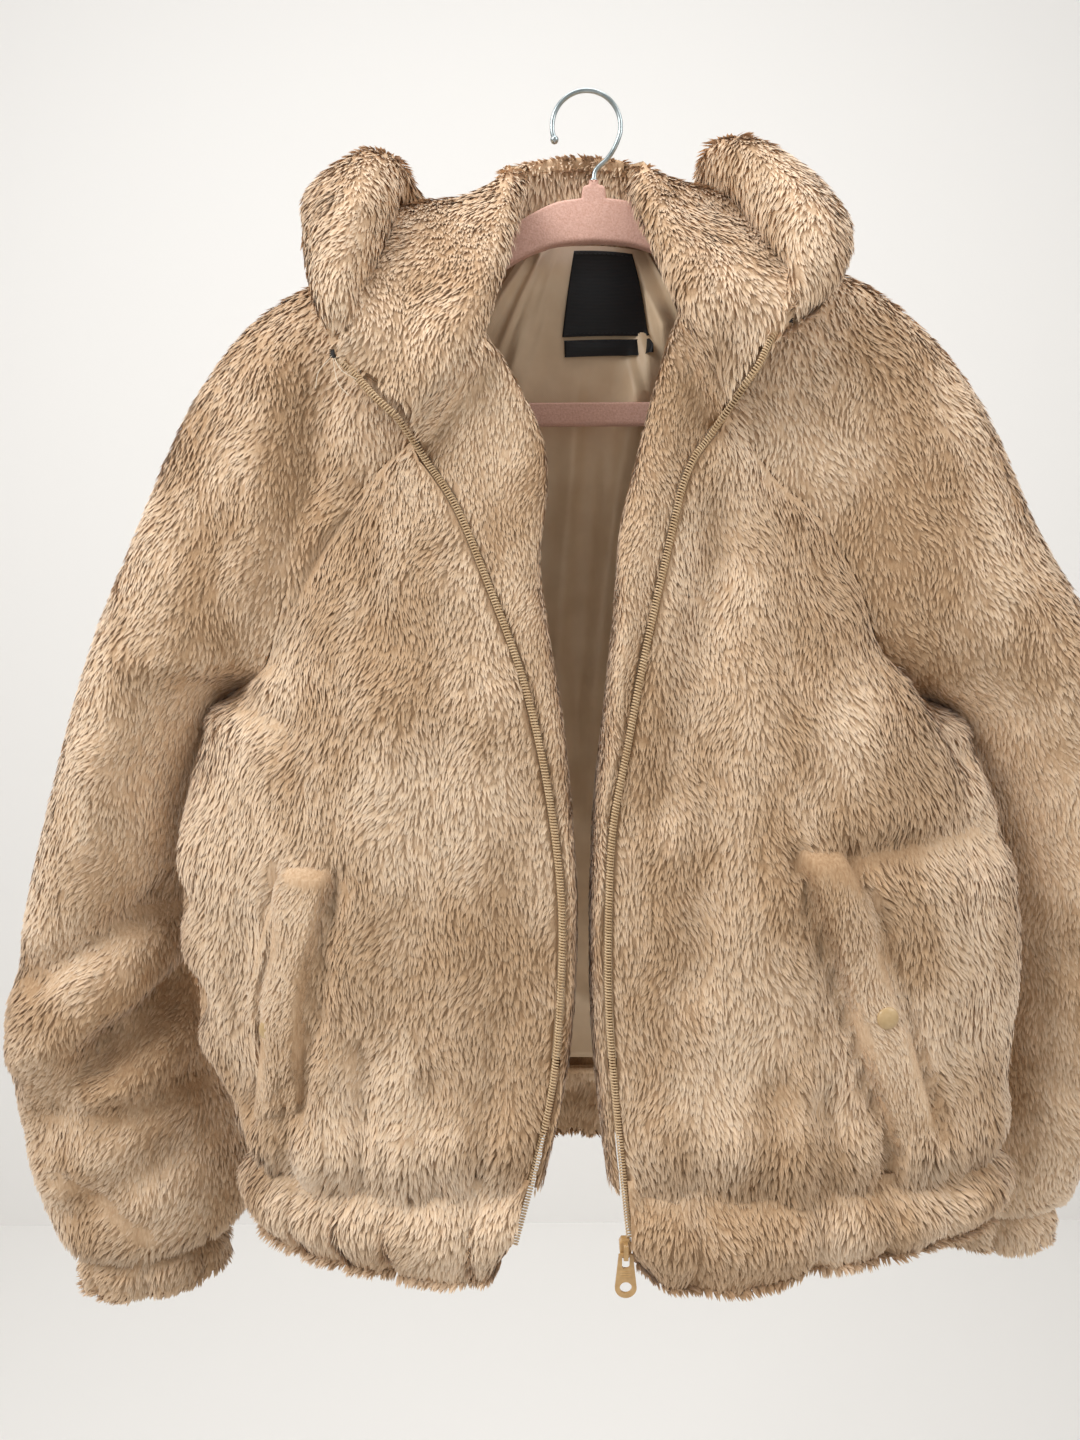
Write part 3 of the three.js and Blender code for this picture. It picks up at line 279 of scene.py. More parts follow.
def fold_depth(face, p):
    """Sum over the folds of depth times a bell curve of the distance from the fold's line."""
    total = np.zeros(p.shape[:-1])
    for side, x0, z0, x1, z1, width, depth in FOLDS:
        ax, az = x1 - x0, z1 - z0
        long = ax * ax + az * az
        t = ((p[..., 0] - x0) * ax + (p[..., 2] - z0) * az) / long
        off = np.hypot(p[..., 0] - x0 - t * ax, p[..., 2] - z0 - t * az)
        past = np.maximum(np.maximum(t - 1, -t), 0) * math.sqrt(long)
        total += (face == side) * depth * np.exp(-((off / width) ** 2) - (past / (1.5 * width)) ** 2)
    return total


def hood_column(k, s):
    """Level k of the hood, from the neck seam (0) to the rim (4), at station s."""
    return spline(HOOD[:, k], s)


def hood_point(s, v):
    """Curve through the five levels at station s; v is 0 at the neck seam, 1 at the rim."""
    columns = spline(HOOD.reshape(len(HOOD), -1), s).reshape(np.shape(s) + (5, 3))
    return spline_along(columns, 4 * v)


def ring(cut, s):
    """The neck seam of one side, counted from its own zip edge."""
    return hood_column(0, s if cut is LEFT else 10 - s)


def sleeve_arc(cut, r, w):
    """An ellipse through the section's outer and under points, swept from the front seam's angle
    to the back seam's; b is its half depth."""
    tx, tz, ux, uz, cy, b, front, back = np.moveaxis(spline(cut["sleeve"], r), -1, 0)
    angle = np.radians(mix(np.minimum(front, 180), -np.minimum(back, 180), w))
    k = (1 - np.cos(angle)) / 2
    return point(mix(tx, ux, k), cy - b * np.sin(angle), mix(tz, uz, k))


def sleeve_point(cut, w, r):
    """The arc, drawn to the neck seam over the first section by the square of what is left."""
    p = sleeve_arc(cut, r, w)
    neck = ring(cut, SLEEVE_NECK + 6.5 * w - 3 * w * w) - sleeve_arc(cut, np.zeros_like(r), w)
    return p + neck * (np.clip(1 - r, 0, 1) ** 2)[..., None]


def zip_point(cut, r):
    """The zip at row r: a curve through the cut's zip points, spread evenly over the rows."""
    return spline(cut["zip"], r / ROWS * (len(cut["zip"]) - 1))


def beside_zip(cut, r, side):
    """A step of ZIP_SIDE square to the zip, towards the front (side 1) or the facing (-1)."""
    along = zip_point(cut, np.minimum(r + 0.05, ROWS)) - zip_point(cut, np.maximum(r - 0.05, 0))
    across = unit(point(-along[..., 2], 0, along[..., 0]))
    turn = np.sign(across[..., :1]) * cut["x"] * side
    return zip_point(cut, r) + across * turn * ZIP_SIDE


def seam_point(cut, w, r):
    """The raglan seam above the armpit, the side seam below it."""
    above = sleeve_point(cut, np.full_like(r, w), np.minimum(r, ARMPIT))
    below = spline(cut["side"], r - ARMPIT)
    return np.where((r <= ARMPIT)[..., None], above, below)


def front_row(cut, u, r):
    """Cubic Bezier from the zip to the seam; its handles give the belly of the front."""
    edge, seam = beside_zip(cut, r, 1), seam_point(cut, 0.0, r)
    wide = cut["x"] * (seam[..., 0] - edge[..., 0])
    depth = spline(FRONT_DEPTH, r)[..., 0]
    rounded = ease((r - 2) / 3)
    lead = edge + point(cut["x"] * 0.33 * wide, mix(0, -12, rounded), 0.3 * (seam - edge)[..., 2])
    turn = point(seam[..., 0] - cut["x"] * mix(0.33, -0.03, rounded) * wide, depth,
                 mix(edge[..., 2], seam[..., 2], 0.8))
    return bezier(edge, lead, turn, seam, u)


def front_point(cut, u, r):
    """The Bezier row, drawn to the neck seam over the first section."""
    zero = np.zeros_like(r)
    beside = (beside_zip(cut, zero, 1) - zip_point(cut, zero)) * (1 - u)[..., None]
    neck = ring(cut, SLEEVE_NECK * u) + beside
    return front_row(cut, u, r) + (neck - front_row(cut, u, zero)) * (np.clip(1 - r, 0, 1) ** 2)[..., None]


def back_row(u, r):
    """Cubic Bezier from the left seam to the right one, as deep as the table says."""
    a, b = seam_point(LEFT, 1.0, r), seam_point(RIGHT, 1.0, r)
    depth = spline(BACK_DEPTH, r)[..., 0]
    inward = mix(0.33 * (b - a)[..., 0], 75, ease((r - 2) / 3))
    first = point(a[..., 0] + inward, a[..., 1] + (depth - a[..., 1]) / 0.75, a[..., 2])
    second = point(b[..., 0] - inward, b[..., 1] + (depth - b[..., 1]) / 0.75, b[..., 2])
    return bezier(a, first, second, b, u)


def back_point(u, r):
    """The back at u, r: its row's curve, drawn to the hood's edge by (1 - r) squared above row 1."""
    neck = hood_column(0, mix(4, 6, u)) - back_row(u, np.zeros_like(r))
    return back_row(u, r) + neck * (np.clip(1 - r, 0, 1) ** 2)[..., None]


def facing_point(cut, u, r):
    """From the zip inwards over a soft roll, then 32 mm back into the jacket."""
    edge = beside_zip(cut, r, -1)
    turn = spline(cut["inner"], r / ROWS * (len(cut["inner"]) - 1))
    wide = np.maximum(8, -cut["x"] * (turn - edge)[..., 0])
    near = 1 - ease((wide - 10) / 25)
    fold = point(edge[..., 0] - cut["x"] * wide, mix(turn[..., 1], edge[..., 1] + 14, near), turn[..., 2])
    middle = mix(edge, fold, 0.55) + point(0, mix(-6, -7, near), 0)
    inside = fold + point(cut["x"] * mix(10, 0, near), 32, 0)
    return spline_along(np.stack([edge, middle, fold, inside], axis=-2), 3 * u)


HEM = {
    "left": [[58], [61], [54], [50], [47], [45]],
    "right": [[60], [65], [51], [46], [42], [44]],
    "back": [[46], [48], [50], [50], [48], [46]],
}
HEM_DRIFT = {"left": -10, "right": 3, "back": 0}
HEM_CORNER = {"left": 0.68, "right": 0.8, "back": 1}


def gathers(waves, u):
    """Elastic draws cloth into wide rolls with narrow creases between: 0.6 less a bell curve of
    the distance to the nearest crease. A slow sine keeps the creases from an even step."""
    place = waves * u + 0.22 * np.sin(2 * np.pi * 1.7 * u + 1)
    off = np.abs(place - np.round(place))
    return 0.6 - 1.6 * np.exp(-((off / 0.12) ** 2))


def hem_point(name, waves, u, q):
    """Straight down from the panel's last row, a little inside it at the top, swollen in the
    middle and drawn in by the elastic."""
    row = np.full_like(u, float(ROWS))
    top = back_point(u, row) if name == "back" else front_point(LEFT if name == "left" else RIGHT, u, row)
    height = spline(HEM[name], u * 5)[..., 0] * mix(HEM_CORNER[name], 1, ease(u / 0.08))
    out = unit(point(top[..., 0] - 10, top[..., 1] + 45, 0))
    fade = ease(u / 0.06) * ease((1 - u) / 0.06) * ease(q / 0.3)
    tucked = 4 * (1 - ease((q + 0.12) / 0.5)) * ease(u / 0.06)
    swell = 5 * np.sin(np.pi * q) + 4.5 * fade * gathers(waves, u) - tucked
    lean = HEM_DRIFT[name] * q * (1 - ease(u / 0.3))
    return top + point(lean, 0, -q * height) + out * swell[..., None]


CUFF_LENGTH, CUFF_WALL, CUFF_WAVES = 28, 11, 9


def cuff_down(cut):
    """The way the arm runs at the cuff: square to the width of the sleeve's last section."""
    tx, tz, ux, uz = cut["sleeve"][-1][:4]
    across = unit(np.array([ux - tx, 0, uz - tz]))
    return np.array([across[2], 0, -across[0]]) * np.sign(across[0])


def cuff_point(cut, w, q):
    """The sleeve's last ring carried along its axis, narrower at the top, where it goes up inside
    the sleeve, and in the middle, with the elastic's gathers."""
    tx, tz, ux, uz, cy = cut["sleeve"][-1][:5]
    centre = np.array([(tx + ux) / 2, cy, (tz + uz) / 2])
    out = sleeve_point(cut, w, np.full_like(w, 11.0)) - centre
    gather = 3 * ease(q / 0.4) * gathers(CUFF_WAVES, w) * ease(w / 0.05) * ease((1 - w) / 0.05)
    tucked = 0.1 * (1 - ease((q + 0.15) / 0.6))
    narrow = 1 - 0.06 * np.sin(np.pi * q) - tucked + gather / np.linalg.norm(out, axis=-1)
    return centre + out * narrow[..., None] + cuff_down(cut) * (q * CUFF_LENGTH)[..., None]


print("neck point of the left sleeve", sleeve_point(LEFT, np.array(0.5), np.array(0.0)).round(1))

# %% [markdown]
# ## From points to cloth
# A grid of points is the pile's reach. The cloth itself is a thin closed wall under it: the
# same grid moved in along its normals twice, and joined round the edge.

# %% Grids and walls
scene_collection = bpy.context.scene.collection


def grid(function, count_u, count_v, u=(0, 1), v=(0, 1)):
    """Evaluates a surface on a regular grid of its two parameters."""
    us, vs = np.meshgrid(np.linspace(*u, count_u), np.linspace(*v, count_v), indexing="ij")
    return function(us, vs)


def normals(p, flip=False, closed=False):
    """The cross product of the two differences across each point, at length 1."""
    wide = np.concatenate([p[-2:-1], p, p[1:2]]) if closed else p
    du = np.gradient(wide, axis=0)[1:-1] if closed else np.gradient(p, axis=0)
    return unit(np.cross(du, np.gradient(p, axis=1))) * (-1 if flip else 1)


def quads(rows, columns, start=0):
    """The vertex numbers of a grid's faces."""
    i, j = np.meshgrid(np.arange(rows - 1), np.arange(columns - 1), indexing="ij")
    a = start + i * columns + j
    return np.stack([a, a + columns, a + columns + 1, a + 1], axis=-1).reshape(-1, 4)


def make_mesh(name, points, faces, smooth=True):
    """Puts arrays into a mesh: points in millimetres (n, 3), faces (m, 3 or 4)."""
    faces = np.asarray(faces)
    mesh = bpy.data.meshes.new(name)
    mesh.vertices.add(len(points))
    mesh.vertices.foreach_set("co", (np.asarray(points, np.float32) * 0.001).ravel())
    mesh.loops.add(faces.size)
    mesh.loops.foreach_set("vertex_index", faces.astype(np.int32).ravel())
    mesh.polygons.add(len(faces))
    mesh.polygons.foreach_set("loop_start", np.arange(0, faces.size, faces.shape[1], dtype=np.int32))
    mesh.polygons.foreach_set("use_smooth", np.full(len(faces), smooth))
    mesh.update(calc_edges=True)
    piece = bpy.data.objects.new(name, mesh)
    scene_collection.objects.link(piece)
    return piece


def wall(name, p, n, outer, inner, closed=False):
    """A closed wall between two offsets of a grid, its edges joined by one strip of faces."""
    rows, columns = p.shape[:2]
    points = np.concatenate([(p + n * offset).reshape(-1, 3) for offset in (outer, inner)])
    front = quads(rows, columns)
    half = rows * columns
    rim = []
    ids = np.arange(half).reshape(rows, columns)
    loops = [ids[:, 0], ids[::-1, -1]] if closed else [
        np.concatenate([ids[:, 0], ids[-1, 1:], ids[-2::-1, -1], ids[0, -2::-1]])]
    for loop in loops:
        rim.append(np.stack([loop[1:], loop[:-1], loop[:-1] + half, loop[1:] + half], axis=-1))
    faces = np.concatenate([front, front[:, ::-1] + half, *rim])
    if closed:
        last, first = ids[-1], ids[0]
        swap = np.arange(2 * half)
        swap[last], swap[last + half] = first, first + half
        faces = swap[faces]
    if signed_volume(points, faces) < 0:
        faces = faces[:, ::-1]
    piece = make_mesh(name, points, faces)
    if closed:
        drop_loose(piece)
    return piece


def signed_volume(points, faces):
    """Sum of the tetrahedra from the origin to each face; below zero the mesh is inside out."""
    a, b, c, d = (points[faces[:, k]] for k in range(4))
    return float(np.einsum("ij,ij->", a, np.cross(b, c)) + np.einsum("ij,ij->", a, np.cross(c, d)))


def drop_loose(piece):
    """Removes points that no face uses."""
    work = bmesh.new()
    work.from_mesh(piece.data)
    bmesh.ops.delete(work, geom=[v for v in work.verts if not v.link_faces], context="VERTS")
    work.to_mesh(piece.data)
    work.free()


def cloth_size(p):
    """Width, length and area in metres of a grid laid flat: mean arc lengths and cell areas."""
    across = np.linalg.norm(np.diff(p, axis=0), axis=-1).sum(axis=0).max()
    down = np.linalg.norm(np.diff(p, axis=1), axis=-1).sum(axis=1).max()
    area = np.linalg.norm(cell_normals(p), axis=-1).sum()
    return float(across) / 1000, float(down) / 1000, float(area) / 1e6


def cell_normals(p):
    """Half the cross product of each cell's diagonals: its area as a vector."""
    return np.cross(p[1:, 1:] - p[:-1, :-1], p[:-1, 1:] - p[1:, :-1]) / 2


print("grids ready")

# %% [markdown]
# ## Creases finer than the solids have
# The solids carry the main folds. Cloth this thick also breaks into narrow creases: at the elbow,
# beside the zip, under the arm, where the band draws the fronts in, and along both edges of each
# pocket welt, which is stitched down there. They are more rows of the same table of folds.

# %% Fine creases
CUTS = {"left": LEFT, "right": RIGHT}
POCKETS = {
    "left": [[0.43, 6.8], [0.52, 6.8], [0.71, 9.9], [0.56, 9.75]],
    "right": [[0.34, 6.6], [0.42, 6.6], [0.6, 10.1], [0.52, 10.5]],
}
SNAPS = {"left": (0.5, 0.65), "right": (0.5, 0.53)}


def patch(corners, s, t):
    """Straight blend of four corners (u, r): s across, t down."""
    a, b, c, d = np.array(corners, float)
    s, t = np.asarray(s)[..., None], np.asarray(t)[..., None]
    return mix(mix(a, b, s), mix(d, c, s), t)


FOLDS += [
    # left sleeve: elbow, lower arm, under the arm
    [-1, -286, -546, -385, -604, 9, -7],
    [-1, -280, -612, -342, -657, 10, -10],
    [-1, -342, -657, -384, -702, 12, -11],
    [-1, -262, -690, -400, -717, 10, -8],
    [-1, -330, -628, -404, -668, 14, 9],
    [-1, -285, -655, -340, -692, 14, 8],
    [-1, -328, -802, -384, -763, 9, -6],
    [-1, -332, -455, -306, -504, 14, 5],
    [-1, -262, -390, -300, -384, 11, 5],
    # left front, drawn in by the band
    [-1, -148, -636, -148, -745, 6, -8],
    [-1, -107, -650, -102, -745, 7, -6],
    [-1, -75, -712, -61, -612, 8, -4],
    [-1, -198, -655, -203, -730, 7, -6],
    [-1, -127, -655, -125, -735, 10, 4],
    [-1, -173, -640, -177, -735, 10, 4],
    [-1, -205, -470, -190, -330, 18, -5],
    [-1, -230, -560, -236, -690, 12, -6],
    [-1, -160, -300, -128, -372, 16, -5],
    # right front: the valley beside the zip, and the band's pleats
    [-1, 84, -323, 62, -580, 15, -8],
    [-1, 112, -655, 109, -745, 8, -5],
    [-1, 146, -665, 150, -745, 7, -6],
    [-1, 186, -700, 192, -745, 7, -5],
    [-1, 129, -650, 130, -740, 10, 4],
    [-1, 254, -448, 226, -408, 9, -7],
    [-1, 262, -492, 180, -503, 7, -4],
    [-1, 232, -640, 250, -730, 12, -5],
]
for pocket_side, corners in POCKETS.items():
    u, r = np.array(corners, float).T
    a, b, c, d = front_point(CUTS[pocket_side], u, r)
    for top, bottom, out in ((a, d, -1), (b, c, 1)):
        shift = 3.5 * out * CUTS[pocket_side]["x"]
        FOLDS.append([-1, top[0] + shift, top[2], bottom[0] + shift, bottom[2], 5, -8])
print("folds", len(FOLDS))

# %% [markdown]
# ## The panels of fur fabric
# Each panel is a grid of points at the reach of the pile, with the direction that faces outward.
# The elbow folds and the creases of a hanging front move the points along those directions.

# %% Fronts, back and sleeves
panels = {}


def add_panel(name, p, flip=False, closed=False, face=None, relief=None):
    """Keeps a grid with its normals; face says whose folds it takes (front -1, back 1, both 0), and
    relief is one more distance to move each point out. Folds die out at the sewn edges."""
    n = normals(p, flip, closed)
    if face is not None:
        side = np.where(n[..., 1] < 0, -1, 1) if face == 0 else face
        across = np.linspace(0, 1, p.shape[0])[:, None]
        from_seam = np.minimum(across, 1 - across) if face != -1 else 1 - across
        p = p + n * (fold_depth(side, p) * ease(from_seam / 0.06) + relief)[..., None]
        n = normals(p, flip, closed)
    panels[name] = (p, n)


def blouse(waves, us, rs):
    """A panel swells over its band at row 10.3, is tucked in under it at 11, and takes up the
    band's gathers over its last two rows."""
    roll = 6 * np.exp(-(((rs - 10.3) / 0.45) ** 2)) - 1.5 * ease((rs - 10.6) / 0.4)
    drawn = 2.5 * gathers(waves, us) * ease((rs - 9.3) / 1.4) * ease((1 - us) / 0.1)
    return roll * ease(us / 0.06) + drawn * ease(us / 0.1)


def toward_body(cut, w, r, p):
    """Moves the inner side of the lower sleeve 9 mm towards the body, where it hangs against it."""
    inner = np.exp(-((np.minimum(w, 1 - w) / 0.14) ** 2)) * ease((r - 3.6) / 1.2) * ease((11 - r) / 1.2)
    return p - point(cut["x"] * 9 * inner, 0, 0)


def facing_to_crest(cut, u, r):
    """Above row 0.2 the facing runs on to the collar's crest: a straight blend with a soft belly."""
    t = np.clip((0.2 - r) / 1.2, 0, 1)
    s = 0.1 + 1.5 * u
    crest = hood_point(s if cut is LEFT else 10 - s, np.full_like(u, 0.22))
    top = facing_point(cut, u, np.maximum(r, 0.2))
    return mix(top, crest, t[..., None]) + point(0, -7 * np.sin(np.pi * t), 0)


for side, cut in CUTS.items():
    right = cut is RIGHT
    us, rs = np.meshgrid(np.linspace(0, 1, 50), np.linspace(0, ROWS, 80), indexing="ij")
    to_coil = cut["x"] * 3.5 * np.exp(-((us / 0.03) ** 2)) * ease((rs - 9.4) / 0.6)
    front = front_point(cut, us, rs) - point(to_coil, 0, 0)
    add_panel(f"front_{side}", front, right, face=-1, relief=blouse(6, us, rs))
    us, rs = np.meshgrid(np.linspace(0, 1, 56), np.linspace(0, ROWS, 92), indexing="ij")
    sleeve = toward_body(cut, us, rs, sleeve_point(cut, us, rs))
    cuff_roll = 4 * np.exp(-(((rs - 10.5) / 0.3) ** 2)) - 2.5 * ease((rs - 10.7) / 0.3)
    add_panel(f"sleeve_{side}", sleeve, right, face=0, relief=cuff_roll)
    turned_in = grid(lambda u, r: facing_to_crest(cut, u, r), 16, 92, v=(-1, ROWS))
    add_panel(f"facing_{side}", turned_in, not right)
us, rs = np.meshgrid(np.linspace(0, 1, 110), np.linspace(0, ROWS, 62), indexing="ij")
add_panel("back", back_point(us, rs), face=1, relief=blouse(15, us, rs))
print({name: p.shape[:2] for name, (p, n) in panels.items()})

# %% [markdown]
# ## Hood, hem band and cuffs
# These are doubled: the fabric goes down one side, turns round an edge and comes back up the
# other. So one grid runs over both faces, and its second parameter counts 0 to 1 out and 1 to 2
# back. The hood's roll is fat along its opening and the cloth thins out towards the neck.

# %% Doubled pieces

def hood_half(s, v):
    """Half the thickness: the body's 9 mm, or the rim's blunt oval where that is fatter; both
    thin out where the hood starts at the zip."""
    from_edge = np.minimum(s, 10 - s)
    body = mix(3, 9, ease(v / 0.3))
    blunt = np.clip(1 - np.abs((v - 0.87) / 0.132) ** 2.4, 0, 1) ** (1 / 2.4)
    rim = 22 * blunt * mix(0.4, 1, ease(from_edge / 2))
    fat = np.maximum(np.maximum(np.where(v > 0.9, 0, body), rim), 2.5)
    return mix(0.55, 1, ease(from_edge / 0.8)) * fat


def doubled(middle, flip, count_u, count_t, half, u=(0, 1), closed=False, top=0.0):
    """Out over one face of a middle surface and back over the other, each half its thickness off."""
    vs = np.linspace(top, 1, count_t)
    us = np.linspace(*u, count_u)
    uu, vv = np.meshgrid(us, vs, indexing="ij")
    p = middle(uu, vv)
    n = normals(p, flip, closed)
    thick = half(uu, vv)[..., None]
    return np.concatenate([p + n * thick, (p - n * thick)[:, ::-1]], axis=1)


for side, stations in (("left", (0.1, 5.03)), ("right", (4.97, 9.9))):
    add_panel(f"hood_{side}", doubled(hood_point, False, 48, 32, hood_half, stations, top=0.03))
for name, waves in (("left", 6), ("right", 6), ("back", 15)):
    band = doubled(lambda u, q: hem_point(name, waves, u, q), name == "right", waves * 10 + 1, 12,
                   lambda u, q: 1 + 8 * np.maximum(ease((q + 0.12) / 0.65), 0.6 - ease(u / 0.06))
                   - 6 * ease((q - 0.5) / 0.5), top=-0.12)
    add_panel(f"hem_{name}", band, name == "right")
for side, cut in CUTS.items():
    ring_grid = doubled(lambda w, q: cuff_point(cut, w, q), cut is RIGHT, 91, 10,
                        lambda w, q: 1 + (CUFF_WALL / 2 - 1) * ease((q + 0.15) / 0.6) - 3 * q * q,
                        closed=True, top=-0.15)
    add_panel(f"cuff_{side}", ring_grid, cut is RIGHT, closed=True)
print("doubled pieces", [name for name in panels if name.startswith(("hood", "hem", "cuff"))])

# %% [markdown]
# ## Slanted welts over the pockets
# A welt is a narrow padded strip that lies on the front between four corners (u, r). Its height
# off the front is a rounded profile both ways.

# %% Welts
def on_front(cut, at):
    """Points and outward directions of a front at (u, r) pairs laid out as a grid."""
    step = 0.002
    p = front_point(cut, at[..., 0], at[..., 1])
    du = front_point(cut, at[..., 0] + step, at[..., 1]) - front_point(cut, at[..., 0] - step, at[..., 1])
    dv = front_point(cut, at[..., 0], at[..., 1] + step) - front_point(cut, at[..., 0], at[..., 1] - step)
    n = unit(np.cross(du, dv)) * (-1 if cut is RIGHT else 1)
    return p + n * fold_depth(-1, p)[..., None], n


for side, corners in POCKETS.items():
    s, t = np.meshgrid(np.linspace(-0.14, 1.14, 17), np.linspace(-0.05, 1.03, 56), indexing="ij")
    p, n = on_front(CUTS[side], patch(corners, s, t))
    ramp_across = ease((0.62 - np.abs(s - 0.5)) / 0.2)
    ramp_down = ease((t + 0.05) / 0.09) * ease((1.03 - t) / 0.06)
    height = -1.5 + 8.5 * ramp_across * ramp_down
    panels[f"welt_{side}"] = (p + n * height[..., None], n)
print("welts", panels["welt_left"][0].shape)

# %% [markdown]
# ## Backing cloth under the pile
# Faux fur is knitted: a thin backing holds the tufts. It shows only as the ground between clumps,
# dark in their shadow, so it is a thin closed wall just under the panel's surface, in the pile's
# colours with the same painted light and shade.

# %% One node at a time
def add_node(material, kind, inputs=None, **settings):
    """Adds a shader node, sets its properties and its inputs; an input may be a value or another
    node's output socket."""
    node = material.node_tree.nodes.new(kind)
    for key, value in settings.items():
        setattr(node, key, value)
    for key, value in (inputs or {}).items():
        if isinstance(value, bpy.types.NodeSocket):
            material.node_tree.links.new(value, node.inputs[key])
        else:
            node.inputs[key].default_value = value
    return node


def linear(hex_colour):
    """sRGB hex to linear RGBA: c / 12.92 below 0.04045, else ((c + 0.055) / 1.055) to the 2.4."""
    c = np.array([int(hex_colour[k:k + 2], 16) for k in (1, 3, 5)]) / 255
    return (*np.where(c <= 0.04045, c / 12.92, ((c + 0.055) / 1.055) ** 2.4).tolist(), 1.0)


def new_material(name, roughness, **sockets):
    """A material with one Principled shader; uniform values are set on the shader itself."""
    material = bpy.data.materials.new(name)
    material.use_nodes = True
    shader = material.node_tree.nodes["Principled BSDF"]
    shader.inputs["Roughness"].default_value = roughness
    for key, value in sockets.items():
        shader.inputs[key.replace("_", " ")].default_value = value
    return material, shader


def connect(material, output, target):
    """Links an output socket to an input socket."""
    material.node_tree.links.new(output, target)


def ramp(material, factor, stops):
    """A colour ramp with the given (place, hex colour) stops."""
    node = add_node(material, "ShaderNodeValToRGB", {"Fac": factor})
    for _ in range(len(stops) - 2):
        node.color_ramp.elements.new(0.5)
    for element, (place, colour) in zip(node.color_ramp.elements, stops):
        element.position = place
        element.color = linear(colour)
    return node.outputs["Color"]


def tint(material, shader, source, stops):
    """Colours a shader by a texture's value, through a ramp."""
    connect(material, ramp(material, source.outputs["Fac"], stops), shader.inputs["Base Color"])


print("node helpers ready")

# %% [markdown]
# ## The pile's finish
# Acrylic pile is darker at the root, where no light gets in, and pale at the tip. Light and shade
# are painted into the pile's colour as well: a shaded run in browns and a lit run in pale tones are
# mixed by a soft noise of 60 x 110 mm and by spots of painted light and shade. Every tuft and every
# clump is also a little lighter or darker than its neighbour. The mesh carries a strand attribute:
# along the tuft, tuft random, clump random.

# %% Fur material
# Spots of painted light (above 0) and painted shade (below 0), lighter where light falls and darker
# where shade gathers: place and reach in metres, and how much is added to the noise at the middle.
PAINTED_LIGHT_SPOTS = [
    ((-0.37, -0.04, -0.47), 0.17, 0.8),
    ((-0.34, -0.05, -0.67), 0.12, -0.7),
    ((0.36, -0.04, -0.50), 0.18, 0.7),
    ((-0.13, -0.12, -0.66), 0.12, 0.5),
    ((0.10, -0.12, -0.52), 0.14, -0.5),
    ((-0.16, -0.08, -0.76), 0.12, -0.5),
    ((0.03, -0.10, -0.30), 0.10, 0.4),
]


def nap_light_and_shade(material):
    """Painted light (1) and shade (0) in soft patches: noise over 60 mm across and 110 mm down,
    with its contrast raised, plus or minus the spots, each fading out smoothly at its reach."""
    place = add_node(material, "ShaderNodeTexCoord").outputs["Object"]
    wide = add_node(material, "ShaderNodeVectorMath", {0: place, 1: (17, 17, 9)}, operation="MULTIPLY")
    noise = add_node(material, "ShaderNodeTexNoise", {"Vector": wide.outputs["Vector"], "Scale": 1.0,
                                                     "Detail": 2.5, "Roughness": 0.55})
    total = add_node(material, "ShaderNodeMapRange", {"Value": noise.outputs["Fac"], "From Min": 0.4,
                                                     "From Max": 0.6}).outputs["Result"]
    for middle, reach, push in PAINTED_LIGHT_SPOTS:
        away = add_node(material, "ShaderNodeVectorMath", {0: place, 1: middle}, operation="DISTANCE")
        part = add_node(material, "ShaderNodeMapRange", {"Value": away.outputs["Value"], "From Max": reach,
                                                        "To Min": push, "To Max": 0.0},
                        interpolation_type="SMOOTHSTEP")
        total = add_node(material, "ShaderNodeMath", {0: total, 1: part.outputs["Result"]}).outputs[0]
    return add_node(material, "ShaderNodeClamp", {"Value": total}).outputs["Result"]


def mixed(material, factor, first, second):
    """Straight mix of two colours."""
    node = add_node(material, "ShaderNodeMix", {"Factor": factor}, data_type="RGBA")
    connect(material, first, node.inputs[6])
    connect(material, second, node.inputs[7])
    return node.outputs[2]


acrylic_pile, shader = new_material("acrylic pile", 0.75, Sheen_Weight=0.25, Sheen_Roughness=0.5,
                                    Specular_IOR_Level=0.25)
strand = add_node(acrylic_pile, "ShaderNodeAttribute", attribute_name="strand")
parts = add_node(acrylic_pile, "ShaderNodeSeparateXYZ", {"Vector": strand.outputs["Vector"]})
# A shaded and a lit copy of the root-to-tip run: browns for painted shade, pale tones for painted light.
shaded_run = ramp(acrylic_pile, parts.outputs["X"],
                [(0.0, "#A5815E"), (0.35, "#B5926D"), (0.65, "#C6A480"), (1.0, "#D6B896")])
lit_run = ramp(acrylic_pile, parts.outputs["X"],
             [(0.0, "#CDAB88"), (0.35, "#DBBC99"), (0.65, "#E8CCAC"), (1.0, "#F2DCC2")])
pile_colour_and_shade = mixed(acrylic_pile, nap_light_and_shade(acrylic_pile), shaded_run, lit_run)
tuft_shade = add_node(acrylic_pile, "ShaderNodeMapRange", {"Value": parts.outputs["Y"], "To Min": 0.93,
                                                          "To Max": 1.05})
clump_shade = add_node(acrylic_pile, "ShaderNodeMapRange", {"Value": parts.outputs["Z"], "To Min": 0.93,
                                                           "To Max": 1.04})
both = add_node(acrylic_pile, "ShaderNodeMath", {0: tuft_shade.outputs[0], 1: clump_shade.outputs[0]},
                operation="MULTIPLY")
shaded = add_node(acrylic_pile, "ShaderNodeVectorMath", {0: pile_colour_and_shade, "Scale": both.outputs[0]},
                  operation="SCALE")
connect(acrylic_pile, shaded.outputs["Vector"], shader.inputs["Base Color"])
